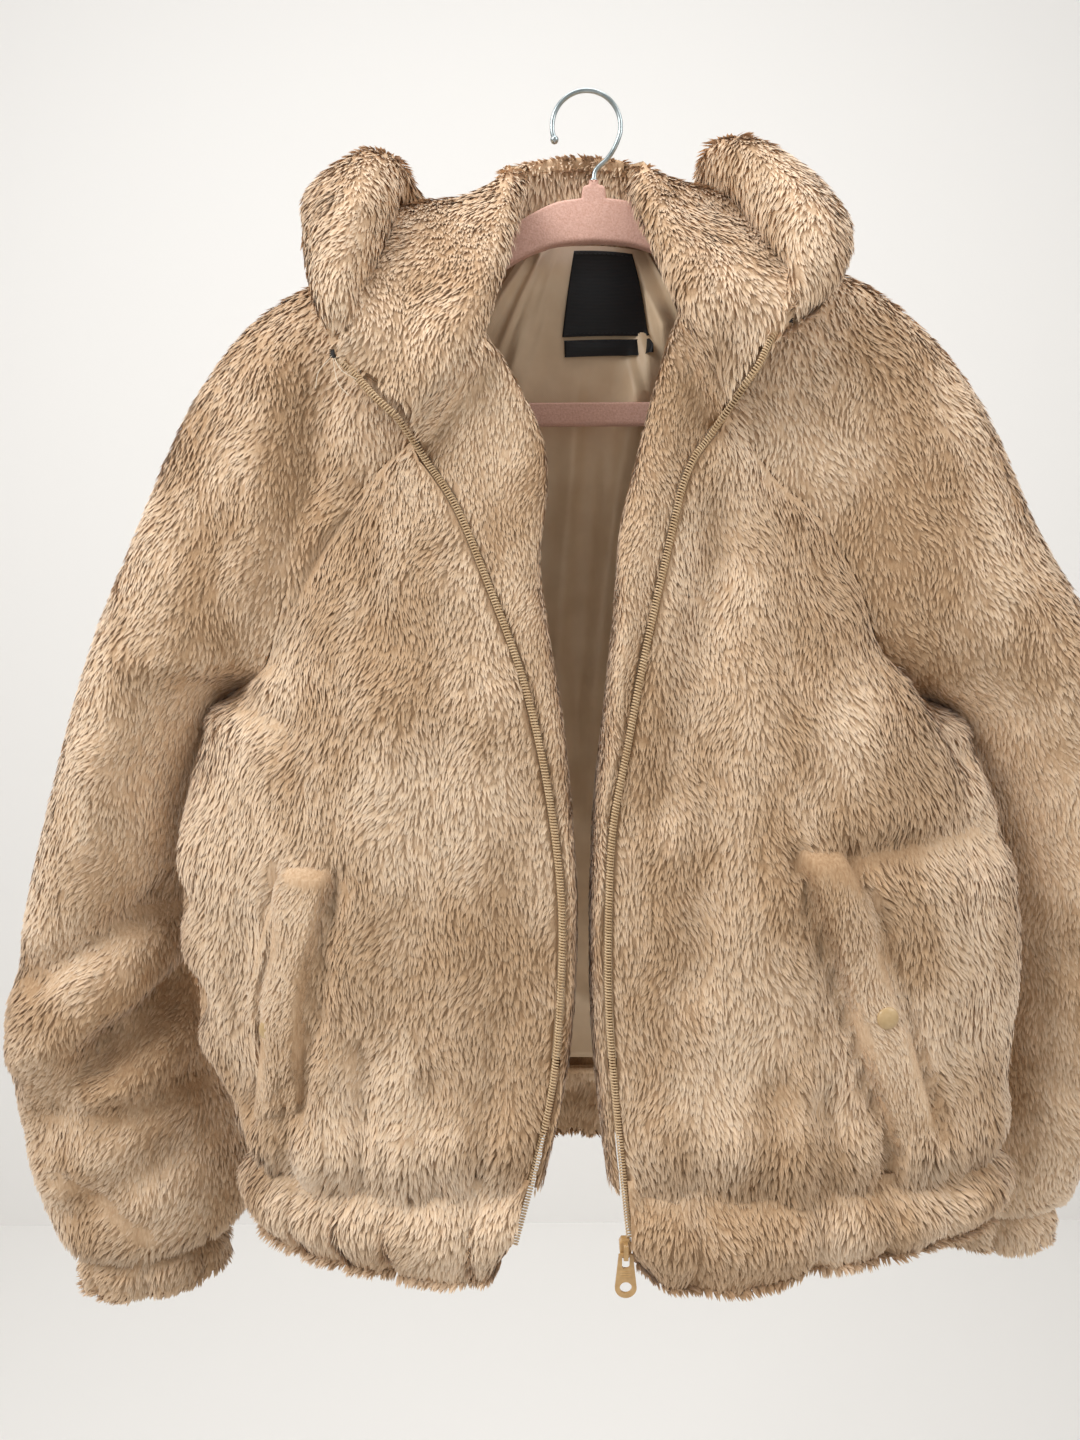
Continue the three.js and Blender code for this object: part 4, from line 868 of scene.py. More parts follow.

# The ground between the tufts: the pile's painted light and shade, in grain 1.5 mm wide and 6 mm long.
pile_ground, shader = new_material("pile ground", 0.9)
place = add_node(pile_ground, "ShaderNodeTexCoord").outputs["Object"]
stretched = add_node(pile_ground, "ShaderNodeVectorMath", {0: place, 1: (650, 650, 160)},
                     operation="MULTIPLY")
grain = add_node(pile_ground, "ShaderNodeTexNoise", {"Vector": stretched.outputs["Vector"], "Scale": 1.0,
                                                   "Detail": 2.0})
# The ground in a shaded and a lit copy as well, mixed by the same painted light and shade.
shaded_run = ramp(pile_ground, grain.outputs["Fac"], [(0.3, "#A7835F"), (0.7, "#C19F7B")])
lit_run = ramp(pile_ground, grain.outputs["Fac"], [(0.3, "#CBA986"), (0.7, "#E3C6A5")])
connect(pile_ground, mixed(pile_ground, nap_light_and_shade(pile_ground), shaded_run, lit_run), shader.inputs["Base Color"])
relief = add_node(pile_ground, "ShaderNodeBump", {"Height": grain.outputs["Fac"], "Strength": 0.6,
                                                 "Distance": 0.001})
connect(pile_ground, relief.outputs["Normal"], shader.inputs["Normal"])
print("materials", acrylic_pile.name, pile_ground.name)

# %% [markdown]
# ## The zip's path
# The zip runs up the front edge and on along the collar's edge to its top corner, and
# down over the hem band. Pile that would lie across the coil is cut away when a zip is sewn in,
# so the path is needed before the tufts.

# %% Zip path
HEM_END = {"left": -757, "right": -752.5}


def zip_path(side, count):
    """Catmull-Rom curve through the collar's points, the front edge and the end of the band."""
    cut = CUTS[side]
    start, beside = (0.0, 0.02) if side == "left" else (10.0, 9.98)
    levels = np.array([0.98, 0.87, 0.76, 0.66, 0.56, 0.46, 0.36, 0.28])
    edge = hood_point(np.full(8, start), levels)
    collar = edge + unit(edge - hood_point(np.full(8, beside), levels)) * (ZIP_SIDE + 1.2)
    collar = collar - point(0, 4 * ease((levels - 0.2) / 0.3), 0)
    body = zip_point(cut, np.array([0.45, *np.arange(1, ROWS + 0.01, 0.5)]))
    end, t = body[-1], np.array([0.5, 1.0])
    band = point(end[0] + HEM_DRIFT[side] * t, end[1] - 2 * t, mix(end[2], HEM_END[side], t))
    rows = np.concatenate([collar, body, band])
    fine = spline(rows, np.linspace(0, len(rows) - 1, 4000))
    gone = np.concatenate([[0], np.cumsum(np.linalg.norm(np.diff(fine, axis=0), axis=1))])
    even = np.linspace(0, gone[-1], count)
    return np.stack([np.interp(even, gone, fine[:, k]) for k in range(3)], axis=-1), gone[-1]


ZIPS = {side: zip_path(side, 240) for side in CUTS}
print("zip lengths", {side: round(float(long)) for side, (path, long) in ZIPS.items()}, "mm")


def clear_of_zip(places, room):
    """True where a place is further than room from both zips, measured in x and z."""
    free = np.ones(len(places), bool)
    for path, _ in ZIPS.values():
        for step in path[::4]:
            away = np.hypot(places[:, 0] - step[0], places[:, 2] - step[2])
            free &= (away > room) | (np.abs(places[:, 1] - step[1]) > 25)
    return free


# %% [markdown]
# ## Tufts
# Sculpting fur by hand is hopeless and particle hair doesn't survive an export, so each lock is
# a small kite of four points: root, two shoulders and tip. Roots are scattered evenly by area.
# A lock rises from the backing, leans over and points down. Locks in reach of the same clump
# centre bend towards it at the tip, which is what makes faux fur look like fur and not like grass.
# Their shading normals lean to the cloth's own, because light soaks through real pile and evens out.

# %% Scatter over a grid
def scatter(p, count, seed):
    """Random places on a grid, as many per cell as its area: (i, j) as decimals."""
    local = np.random.default_rng(seed)
    area = np.linalg.norm(cell_normals(p), axis=-1).ravel()
    cell = np.searchsorted(np.cumsum(area) / area.sum(), local.random(count))
    cell = np.minimum(cell, area.size - 1)
    i, j = np.divmod(cell, p.shape[1] - 1)
    return i + local.random(count), j + local.random(count)


def sample(values, i, j):
    """Bilinear: the four corners of the cell weighted by the distances to the other side."""
    i0 = np.clip(i.astype(int), 0, values.shape[0] - 2)
    j0 = np.clip(j.astype(int), 0, values.shape[1] - 2)
    a, b = (i - i0)[..., None], (j - j0)[..., None]
    top = mix(values[i0, j0], values[i0 + 1, j0], a)
    return mix(top, mix(values[i0, j0 + 1], values[i0 + 1, j0 + 1], a), b)


def hashed(i, j, seed):
    """A repeatable random number per whole-number cell: the fraction of a large sine."""
    return np.modf(np.abs(np.sin(i * 127.1 + j * 311.7 + seed * 74.7) * 43758.5453))[0]


def clumps(i, j, spacing, step, seed):
    """The nearest of the jittered centres in the 3 x 3 cells round each place; centres are one
    per square of the spacing, in steps of the grid. Returns the centre and its random number."""
    x, y = i * step[0] / spacing, j * step[1] / spacing
    best = np.full(x.shape, 1e9)
    ci, cj, shade = np.zeros_like(x), np.zeros_like(x), np.zeros_like(x)
    for ox in (-1, 0, 1):
        for oy in (-1, 0, 1):
            a, b = np.floor(x) + ox, np.floor(y) + oy
            cx = a + 0.15 + 0.7 * hashed(a, b, seed)
            cy = b + 0.15 + 0.7 * hashed(a, b, seed + 3)
            away = (cx - x) ** 2 + (cy - y) ** 2
            nearer = away < best
            best = np.where(nearer, away, best)
            ci, cj = np.where(nearer, cx, ci), np.where(nearer, cy, cj)
            shade = np.where(nearer, hashed(a, b, seed + 5), shade)
    return ci * spacing / step[0], cj * spacing / step[1], shade


print("scatter ready")

# %% [markdown]
# ## Locks of fur
# A lock is a narrow strip of pile that stands out of the backing, bends over with the nap and
# leans a little towards the middle of its clump. The numbers of locks are those that keep the
# whole jacket under a million triangles.

# %% Locks of fur
PILE = {"root": -2.6, "rise": 2.7, "length": 10.5, "width": 2.1, "clump": 5.0, "gather": 0.35}


def combed(p, n):
    """Gravity, with a little push outwards from the middle of the jacket, laid into the surface
    and turned by slow waves so that no two areas lie quite the same way."""
    pull = point(0.3 * (p[..., 0] - 5) / 200, 0.3 * p[..., 1] / 120, -1.0)
    down = unit(pull - n * np.sum(pull * n, axis=-1, keepdims=True))
    across = np.cross(n, down)
    wave = (np.sin(0.043 * p[..., 0] + 0.071 * p[..., 2])
            + np.sin(0.087 * p[..., 2] - 0.052 * p[..., 0] + 1.3)
            + np.sin(0.11 * p[..., 0] + 0.06 * p[..., 1] + 2.1))
    turn = 0.2 * wave
    return unit(down * np.cos(turn)[..., None] + across * np.sin(turn)[..., None])


def make_fur(name, panel, count, seed, scale=1.0):
    """Four points a lock. Root under the pile's reach; shoulders half way, a width apart; tip at
    the reach, drawn towards the clump's own tip."""
    p, n = panels[panel]
    local = np.random.default_rng(seed)
    i, j = scatter(p, count, seed)
    step = [np.linalg.norm(np.diff(p, axis=k), axis=-1).mean() for k in (0, 1)]
    ci, cj, shade = clumps(i, j, PILE["clump"] * scale, step, seed)
    ci = np.clip(ci, 0, p.shape[0] - 1.001)
    cj = np.clip(cj, 0, p.shape[1] - 1.001)

    # The last locks of a panel hang free over the band, along the cloth before it turns in.
    last = 0.925 * (p.shape[1] - 1) if panel.startswith(("front", "back", "sleeve")) else p.shape[1]

    def tip_of(at, normal, i, j, long):
        """A tip: up off the cloth by root and rise, then the lock's length along the nap."""
        along = combed(at, unit(sample(n, i, np.minimum(j, last))))
        return at + normal * (PILE["root"] + PILE["rise"] * scale) + along * long[..., None]

    at, up = sample(p, i, j), unit(sample(n, i, j))
    centre, centre_up = sample(p, ci, cj), unit(sample(n, ci, cj))
    long = PILE["length"] * scale * local.uniform(0.75, 1.15, count)
    clump_long = PILE["length"] * scale * (0.85 + 0.3 * shade)
    own_tip = tip_of(at, up, i, j, long)
    clump_tip = tip_of(centre, centre_up, ci, cj, clump_long)
    drawn_in = PILE["gather"] * local.uniform(0.6, 1.2, (count, 1))
    tip = mix(own_tip, clump_tip, drawn_in)
    tip = tip + up * local.normal(0, 0.5 * scale, (count, 1))
    root = at + up * PILE["root"] * scale
    middle = mix(root, tip, 0.5) + up * 0.6 * scale
    lean = unit(tip - root)
    side = unit(np.cross(lean, up))
    roll = local.uniform(-0.35, 0.35, (count, 1))
    side = unit(side * np.cos(roll) + np.cross(side, lean) * np.sin(roll))
    half = side * (PILE["width"] * scale / 2 * local.uniform(0.7, 1.3, (count, 1)))
    corners = np.stack([root, middle - half, tip, middle + half], axis=1).reshape(-1, 3)
    keep = clear_of_zip(root, 3.6) & clear_of_zip(tip, 2.8) & clear_of_zip(middle, 2.8)
    base = np.flatnonzero(keep)[:, None] * 4
    faces = np.concatenate([base + [0, 3, 1], base + [1, 3, 2]])
    piece = make_mesh(name, corners, faces)
    along = np.tile([0.0, 0.5, 1.0, 0.5], count)
    strand = np.stack([along, np.repeat(local.random(count), 4), np.repeat(shade, 4)], axis=-1)
    data = piece.data.attributes.new("strand", "FLOAT_VECTOR", "POINT")
    data.data.foreach_set("vector", strand.astype(np.float32).ravel())
    soft = unit(np.repeat(up, 4, axis=0) + np.repeat(np.cross(side, lean), 4, axis=0) * 0.15
                + np.repeat(side * local.uniform(-0.2, 0.2, (count, 1)), 4, axis=0))
    piece.data.normals_split_custom_set_from_vertices(soft)
    piece.data.materials.append(acrylic_pile)
    return piece


TUFTS = {"front": 29500, "back": 43000, "sleeve": 40000, "facing": 8500, "hood": 38000, "hem_left": 10500,
         "hem_right": 10500, "hem_back": 13000, "cuff": 5000, "welt": 3400}
backings, furs, flat_sizes = {}, {}, {}
for seed, (name, (p, n)) in enumerate(panels.items()):
    kind = name.split("_")[0]
    thin = {"facing": (-1.6, -2.8), "welt": (-1.4, -2.6)}.get(kind, (-1.4, -2.8))
    skin = wall(f"backing_{name}", p, n, *thin, closed=kind == "cuff")
    skin.data.materials.append(pile_ground)
    pile = make_fur(f"pile_{name}", name, TUFTS.get(name) or TUFTS[kind], seed + 20,
                    0.72 if kind in ("facing", "welt") else 1.0)
    backings[name], furs[name] = skin, pile
    for piece in (skin, pile):
        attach(piece, "garment")
    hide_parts(*([name, "hood_rim"] if name == "hood_left" else [name]))
    wide, long, area = cloth_size(p - n * 2.5)
    flat_sizes[name] = (round(wide, 3), round(long, 3), round(area, 4))
print("locks", sum(len(f.data.polygons) for f in furs.values()) // 2)
print("flat sizes in metres and square metres", flat_sizes)

# %% [markdown]
# ## Satin lining
# The lining is cut like the shell and hangs inside it. It is sewn in only round its edges, so
# between them it falls in long soft folds, with a seam down the centre back. The folds are bell
# curves across lines, as on the shell, and only ever stand further in, away from the fur.

# %% Lining
UNDER = SHELL + 2 * SEAM
LINING = 1.2
LINING_FOLDS = [
    # x0, z0, x1, z1, width on the left, width on the right, depth
    [72, -100, 50, -152, 3, 12, 8],
    [50, -152, 30, -204, 3, 14, 10],
    [30, -204, 6, -400, 4, 16, 10],
    [-8, -225, -20, -385, 8, 5, 6],
    [13, -265, 0, -505, 4, 9, 7],
    [-18, -420, -30, -640, 9, 7, 6],
    [28, -420, 34, -650, 10, 14, 7],
    [-46, -180, -60, -420, 8, 10, 6],
    [-12, -655, 10, -668, 4, 6, 4],
    [-45, -500, 40, -530, 12, 14, 3],
    [-28, -124, -30, -150, 3, 4, 3],
    [-41, -100, -46, -150, 3, 5, 5],
    [-60, -120, -52, -170, 4, 5, 5],
    [90, -250, 60, -600, 18, 18, 9],
    [-110, -250, -90, -600, 18, 18, 9],
]


def hang(p, r):
    """How far the lining stands in: two long sways and the folds, held flat at the neck seam. A
    fold is a bell curve of the distance from its line, wider on one side where it laps over."""
    u = (p[..., 0] + 270) / 540
    free = np.sin(np.pi * np.clip((r - 1) / 9, 0, 1))
    ridge = 7 * np.exp(-(((u - 0.55) / 0.05) ** 2))
    depth = free * (ridge + 4 * (1 + np.cos(2 * np.pi * (3 * u + 0.05 * r))))
    for x0, z0, x1, z1, left, right, height in LINING_FOLDS:
        ax, az = x1 - x0, z1 - z0
        long = math.hypot(ax, az)
        dx, dz = p[..., 0] - x0, p[..., 2] - z0
        t = (dx * ax + dz * az) / long**2
        off = (dz * ax - dx * az) / long * (1 if az < 0 else -1)
        past = np.maximum(np.maximum(t - 1, -t), 0) * long
        depth = depth + height * np.exp(-((off / np.where(off < 0, left, right)) ** 2) - (past / 25) ** 2)
    return depth


def hung_lining(name, function, count_u, count_r, u, r, flip, face):
    """A wall LINING thick on the inside of a panel's surface."""
    us, rs = np.meshgrid(np.linspace(*u, count_u), np.linspace(*r, count_r), indexing="ij")
    p = function(us, rs)
    n = normals(p, flip)
    p = p + n * fold_depth(face, p)[..., None]
    depth = UNDER + (hang(p, rs) if face == 1 else 1.5 * (1 + np.cos(9 * np.pi * us)) * ease((rs - 2) / 2))
    piece = wall(name, p - n * depth[..., None], n, 0.0, -LINING)
    piece.data.materials.append(satin)
    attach(piece, "garment")
    wide, long, area = cloth_size(p - n * (depth[..., None] + LINING / 2))
    flat_sizes[name] = (round(wide, 3), round(long, 3), round(area, 4))
    return piece


# %% [markdown]
# Satin is woven so that most threads float on top: it is smooth, a little glossy, and mirrors
# long soft highlights along its folds. Taupe polyester; threads of 0.4 mm are drawn as fine
# lines, and a noise of 30 mm makes it a little uneven.

# %% Satin
satin, shader = new_material("polyester satin", 0.42, Specular_IOR_Level=0.45, Sheen_Weight=0.15)
place = add_node(satin, "ShaderNodeTexCoord").outputs["Object"]
threads = add_node(satin, "ShaderNodeTexWave", {"Vector": place, "Scale": 400.0, "Distortion": 1.5,
                                               "Detail": 1.0}, wave_type="BANDS", bands_direction="DIAGONAL")
uneven = add_node(satin, "ShaderNodeTexNoise", {"Vector": place, "Scale": 33.0, "Detail": 3.0})
satin_tone = ramp(satin, uneven.outputs["Fac"], [(0.3, "#DFC4A2"), (0.7, "#EED6B6")])
connect(satin, satin_tone, shader.inputs["Base Color"])
slubs = add_node(satin, "ShaderNodeBump", {"Height": threads.outputs["Fac"],
                                           "Strength": 0.12, "Distance": 0.0004})
soft_wrinkle = add_node(satin, "ShaderNodeBump", {"Height": uneven.outputs["Fac"], "Strength": 0.35,
                                                 "Distance": 0.004, "Normal": slubs.outputs["Normal"]})
connect(satin, soft_wrinkle.outputs["Normal"], shader.inputs["Normal"])

lining_back = hung_lining("satin_back", back_point, 110, 72, (1 / 16, 15 / 16), (0.0, 10.6), False, 1)
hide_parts("lining_back")
for side, cut in CUTS.items():
    piece = hung_lining(f"satin_front_{side}", lambda u, r: front_point(cut, u, r), 40, 80, (1 / 12, 11 / 12),
                        (0.8, 10.6), cut is RIGHT, -1)
    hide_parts(f"lining_front_{side}")
print("lining", flat_sizes["satin_back"])

# %% [markdown]
# ## Woven labels
# Two black labels are sewn to the lining under the neck: a tall one and a low size label. They
# are left bare. A taffeta label is stiff, so it bows a little between its stitches; its edges
# are cut hot and sealed, and a row of small stitches holds its ends.

# %% Labels
LABELS = {
    "label": [[0.43, 0.02], [0.8, 0.02], [0.775, 0.34], [0.445, 0.34]],
    "label_small": [[0.455, 0.355], [0.77, 0.355], [0.765, 0.425], [0.465, 0.425]],
}


def label_surface(corners, s, t):
    """The lining's surface under a patch of (u, r), lifted 2 mm with a bow of 1.5 mm across."""
    at = patch(corners, s, t)
    u, r = at[..., 0], at[..., 1]
    p = back_point(u, r)
    n = normals(p)
    p = p + n * fold_depth(1, p)[..., None]
    depth = UNDER + hang(p, r) + LINING + 1.9 + 1.6 * np.sin(np.pi * s) * np.sin(np.pi * t)
    return p - n * depth[..., None], n


taffeta, shader = new_material("woven taffeta", 0.5, Specular_IOR_Level=0.4)
place = add_node(taffeta, "ShaderNodeTexCoord").outputs["Object"]
ribs = add_node(taffeta, "ShaderNodeTexWave", {"Vector": place, "Scale": 330.0}, wave_type="BANDS",
                bands_direction="Z")
tint(taffeta, shader, ribs, [(0.2, "#08090C"), (0.9, "#15171C")])
rib_relief = add_node(taffeta, "ShaderNodeBump", {"Height": ribs.outputs["Fac"],
                                                  "Strength": 0.5, "Distance": 0.0003})
connect(taffeta, rib_relief.outputs["Normal"], shader.inputs["Normal"])
label_thread, shader = new_material("label thread", 0.6)
shader.inputs["Base Color"].default_value = linear("#23262C")


def stitches(name, path, up, length, gap, thick, material):
    """Short raised dashes along a path: each is a 6-sided spindle, made as one array of rings."""
    gone = np.concatenate([[0], np.cumsum(np.linalg.norm(np.diff(path, axis=0), axis=1))])
    starts = np.arange(gap / 2, gone[-1] - length, length + gap)
    t = np.array([0.0, 0.12, 0.5, 0.88, 1.0])
    fat = np.array([0.1, 0.8, 1.0, 0.8, 0.1]) * thick / 2
    at = starts[:, None] + t * length
    centre = np.stack([np.interp(at, gone, path[:, k]) for k in range(3)], axis=-1)
    lift = np.stack([np.interp(at, gone, up[:, k]) for k in range(3)], axis=-1)
    along = unit(centre[:, -1:] - centre[:, :1])
    side = unit(np.cross(along, lift))
    over = np.cross(side, along)
    angle = np.linspace(0, 2 * np.pi, 7)[:-1]
    ring_points = (centre[:, :, None] + fat[None, :, None, None] * (side[:, :, None] * np.cos(angle)[:, None]
                   + over[:, :, None] * np.sin(angle)[:, None]))
    count = len(starts)
    first = (np.arange(count) * 30)[:, None, None, None]
    j, k = np.meshgrid(np.arange(4), np.arange(6), indexing="ij")
    a = first + (j * 6 + k)[None, :, :, None]
    b = first + (j * 6 + (k + 1) % 6)[None, :, :, None]
    faces = np.concatenate([a, b, b + 6, a + 6], axis=-1).reshape(-1, 4)
    base = np.arange(count)[:, None] * 30
    caps = np.concatenate([base + [3, 2, 1, 0], base + [5, 4, 3, 0],
                           base + [24, 25, 26, 27], base + [24, 27, 28, 29]])
    points = ring_points.reshape(-1, 3)
    faces = np.concatenate([faces, caps])
    if signed_volume(points, faces) < 0:
        faces = faces[:, ::-1]
    piece = make_mesh(name, points, faces)
    piece.data.materials.append(material)
    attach(piece, "garment")
    return piece


for name, corners in LABELS.items():
    s, t = np.meshgrid(np.linspace(0, 1, 40), np.linspace(0, 1, 30), indexing="ij")
    p, n = label_surface(corners, s, t)
    piece = wall(f"woven_{name}", p, n, 0.0, -0.7)
    piece.data.materials.append(taffeta)
    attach(piece, "garment")
    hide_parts(name)
    wide, long, area = cloth_size(p)
    flat_sizes[name] = (round(wide, 3), round(long, 3), round(area, 4))
    edges = [p[1:-1, 1], p[1:-1, -2]] if name == "label" else [p[1:-1, 2]]
    for k, path in enumerate(edges):
        row = stitches(f"stitches_{name}_{k}", path - n[1:-1, 1] * 0.75,
                       -n[1:-1, 1], 2.2, 1.0, 0.5, label_thread)
print("labels", flat_sizes["label"], flat_sizes["label_small"])

# %% [markdown]
# ## Coil zip
# A coil zip is one nylon filament wound into a spiral and sewn to the edge of a tape. The coil
# is a flattened helix carried along the path: 5 mm wide, one turn in 1.9 mm, of 1 mm filament. The
# tape runs back from it into the seam between front and facing.

# %% Zips
COIL = {"across": 2.0, "toward": 1.1, "pitch": 1.9, "wire": 0.5}


def swept(centre, normal_way, other_way, radius, sides):
    """Rings of points round a path: two unit directions square to it, times cosine and sine."""
    angle = np.linspace(0, 2 * np.pi, sides + 1)[:-1]
    radius = np.broadcast_to(np.asarray(radius, float), len(centre))[:, None, None]
    return centre[:, None] + radius * (normal_way[:, None] * np.cos(angle)[:, None]
                                       + other_way[:, None] * np.sin(angle)[:, None])


def ring_faces(count, sides):
    """Quads between rings that close on themselves, and the table of their point numbers."""
    ids = np.arange(count * sides).reshape(count, sides)
    across = np.concatenate([ids, ids[:, :1]], axis=1)
    faces = np.stack([across[:-1, :-1], across[:-1, 1:], across[1:, 1:], across[1:, :-1]], axis=-1)
    return faces.reshape(-1, 4), across


def tube(centre, radius, sides):
    """A round tube along a path of points, closed by a middle point at each end. Each ring is set
    square to the path by crossing it with y, or with x where the path runs nearly along y."""
    along = unit(np.gradient(centre, axis=0))
    guide = unit(np.cross(along, np.where(np.abs(along[:, 1:2]) > 0.9, [1.0, 0, 0], [0, 1.0, 0])))
    other = np.cross(along, guide)
    rings = swept(centre, guide, other, radius, sides)
    count = len(centre)
    faces, across = ring_faces(count, sides)
    points = np.concatenate([rings.reshape(-1, 3), centre[:1], centre[-1:]])
    first, last = count * sides, count * sides + 1
    ends = [[across[0, k + 1], across[0, k], first] for k in range(sides)]
    ends += [[across[-1, k], across[-1, k + 1], last] for k in range(sides)]
    return points, faces, np.array(ends)


def mesh_of(name, points, quad_faces, tri_faces):
    """Quads and triangles in one mesh, turned outward if their volume is below zero."""
    faces = [list(map(int, f)) for f in quad_faces] + [list(map(int, f)) for f in tri_faces]
    if signed_volume(points, np.asarray(quad_faces)) < 0:
        faces = [f[::-1] for f in faces]
    mesh = bpy.data.meshes.new(name)
    mesh.from_pydata((points * 0.001).tolist(), [], faces)
    mesh.polygons.foreach_set("use_smooth", np.ones(len(faces), bool))
    mesh.update()
    piece = bpy.data.objects.new(name, mesh)
    scene_collection.objects.link(piece)
    return piece


def joined(name, tubes):
    """Several tubes in one mesh: each one's point numbers start after those before it."""
    starts = np.cumsum([0] + [len(tube_points) for tube_points, _, _ in tubes])
    return mesh_of(name, np.concatenate([part[0] for part in tubes]),
                   *(np.concatenate([part[k] + start for part, start in zip(tubes, starts)]) for k in (1, 2)))


nylon, shader = new_material("nylon filament", 0.38, Specular_IOR_Level=0.45)
place = add_node(nylon, "ShaderNodeTexCoord").outputs["Object"]
dyed = add_node(nylon, "ShaderNodeTexNoise", {"Vector": place, "Scale": 90.0, "Detail": 2.0})
tint(nylon, shader, dyed, [(0.3, "#C6A77F"), (0.7, "#D8BC96")])
zip_tape, shader = new_material("twill tape", 0.8)
place = add_node(zip_tape, "ShaderNodeTexCoord").outputs["Object"]
twill = add_node(zip_tape, "ShaderNodeTexWave", {"Vector": place, "Scale": 260.0}, wave_type="BANDS",
                 bands_direction="DIAGONAL")
tint(zip_tape, shader, twill, [(0.2, "#A88A64"), (0.8, "#C2A680")])
twill_relief = add_node(zip_tape, "ShaderNodeBump", {"Height": twill.outputs["Fac"], "Strength": 0.4,
                                                    "Distance": 0.0003})
connect(zip_tape, twill_relief.outputs["Normal"], shader.inputs["Normal"])

for side, cut in CUTS.items():
    long = ZIPS[side][1]
    turns = long / COIL["pitch"]
    path, _ = zip_path(side, int(turns * 9))
    along = unit(np.gradient(path, axis=0))
    across = unit(np.cross(along, np.array([0.0, 1.0, 0.0])))
    toward = np.cross(across, along)
    turn = (np.linspace(0, turns, len(path)) * 2 * np.pi)[:, None]
    coil = (path + point(0, -0.9, 0) + across * COIL["across"] * np.cos(turn)
            + toward * COIL["toward"] * np.sin(turn))
    coil_piece = mesh_of(f"coil_{side}", *tube(coil, COIL["wire"], 5))
    coil_piece.data.materials.append(nylon)
    tape_path, _ = zip_path(side, 140)
    tape_along = unit(np.gradient(tape_path, axis=0))
    tape_across = unit(np.cross(tape_along, np.array([0.0, 1.0, 0.0]))) * cut["x"]
    width = np.linspace(0, 1, 6)
    tape_grid = (tape_path[:, None] + tape_across[:, None] * (2.1 - 1.9 * width[:, None])
                 + np.array([0, 11.0, 0]) * (width[:, None] ** 1.3) + np.array([0, 0.9, 0]))
    tape = wall(f"tape_{side}", tape_grid, normals(tape_grid), 0.3, -0.3)
    tape.data.materials.append(zip_tape)
    wide, down, area = cloth_size(tape_grid)
    flat_sizes[f"tape_{side}"] = (round(down, 4), round(wide, 3), round(area, 4))
    for piece in (coil_piece, tape):
        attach(piece, "garment")
    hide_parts(f"zip_{side}")
    print("zip", side, len(coil_piece.data.polygons), "faces, tape", flat_sizes[f"tape_{side}"])

# %% [markdown]
# ## Slider, pull tab and snaps
# Slider and tab are die-cast zinc with tan enamel, glossy and a little uneven in tone. Three raised
# bars cross the tab above its eye. The snap caps are pressed discs that the pile half buries; each
# is a profile turned round the direction that faces out of the welt.

# %% Enamel
enamel, shader = new_material("zinc with tan enamel", 0.32, Specular_IOR_Level=0.5, Coat_Weight=0.3,
                              Coat_Roughness=0.15)
place = add_node(enamel, "ShaderNodeTexCoord").outputs["Object"]
rubbed = add_node(enamel, "ShaderNodeTexNoise", {"Vector": place, "Scale": 300.0, "Detail": 3.0})
tint(enamel, shader, rubbed, [(0.3, "#BC9560"), (0.7, "#CDA671")])
orange_peel = add_node(enamel, "ShaderNodeBump", {"Height": rubbed.outputs["Fac"], "Strength": 0.15,
                                                 "Distance": 0.0004})
connect(enamel, orange_peel.outputs["Normal"], shader.inputs["Normal"])


def give_material(node, material):
    """Puts one material in every slot of a CAD node's object."""
    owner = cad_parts[node]
    if not owner.material_slots:
        owner.data.materials.append(material)
    for slot in owner.material_slots:
        slot.material = material


give_material("slider", enamel)
give_material("pull_tab", enamel)

low, high = (np.array(corner) * 1000 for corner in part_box("pull_tab"))
tab_middle, tab_front = (low[0] + high[0]) / 2, low[1]
bars = []
for k in range(3):
    bar_z = high[2] - 12.2 - 1.7 * k
    s = np.linspace(-1, 1, 13)
    half_wide = 3.4 + 0.25 * k
    bars.append(point(tab_middle + s * half_wide, np.full(13, tab_front + 0.15), np.full(13, bar_z)))
bar_radius = 0.5 * np.sqrt(np.clip(1.02 - np.linspace(-1, 1, 13) ** 6, 0.05, 1))
tab_bars = joined("tab_bars", [tube(path, bar_radius, 8) for path in bars])
tab_bars.data.materials.append(enamel)
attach(tab_bars, "pull_tab")
print("tab box", low.round(1), high.round(1))

# %% [markdown]
# ## Snap caps
# A pressed cap is a turned shape, so one profile is swung round its axis. It stands square to
# the welt that it closes.

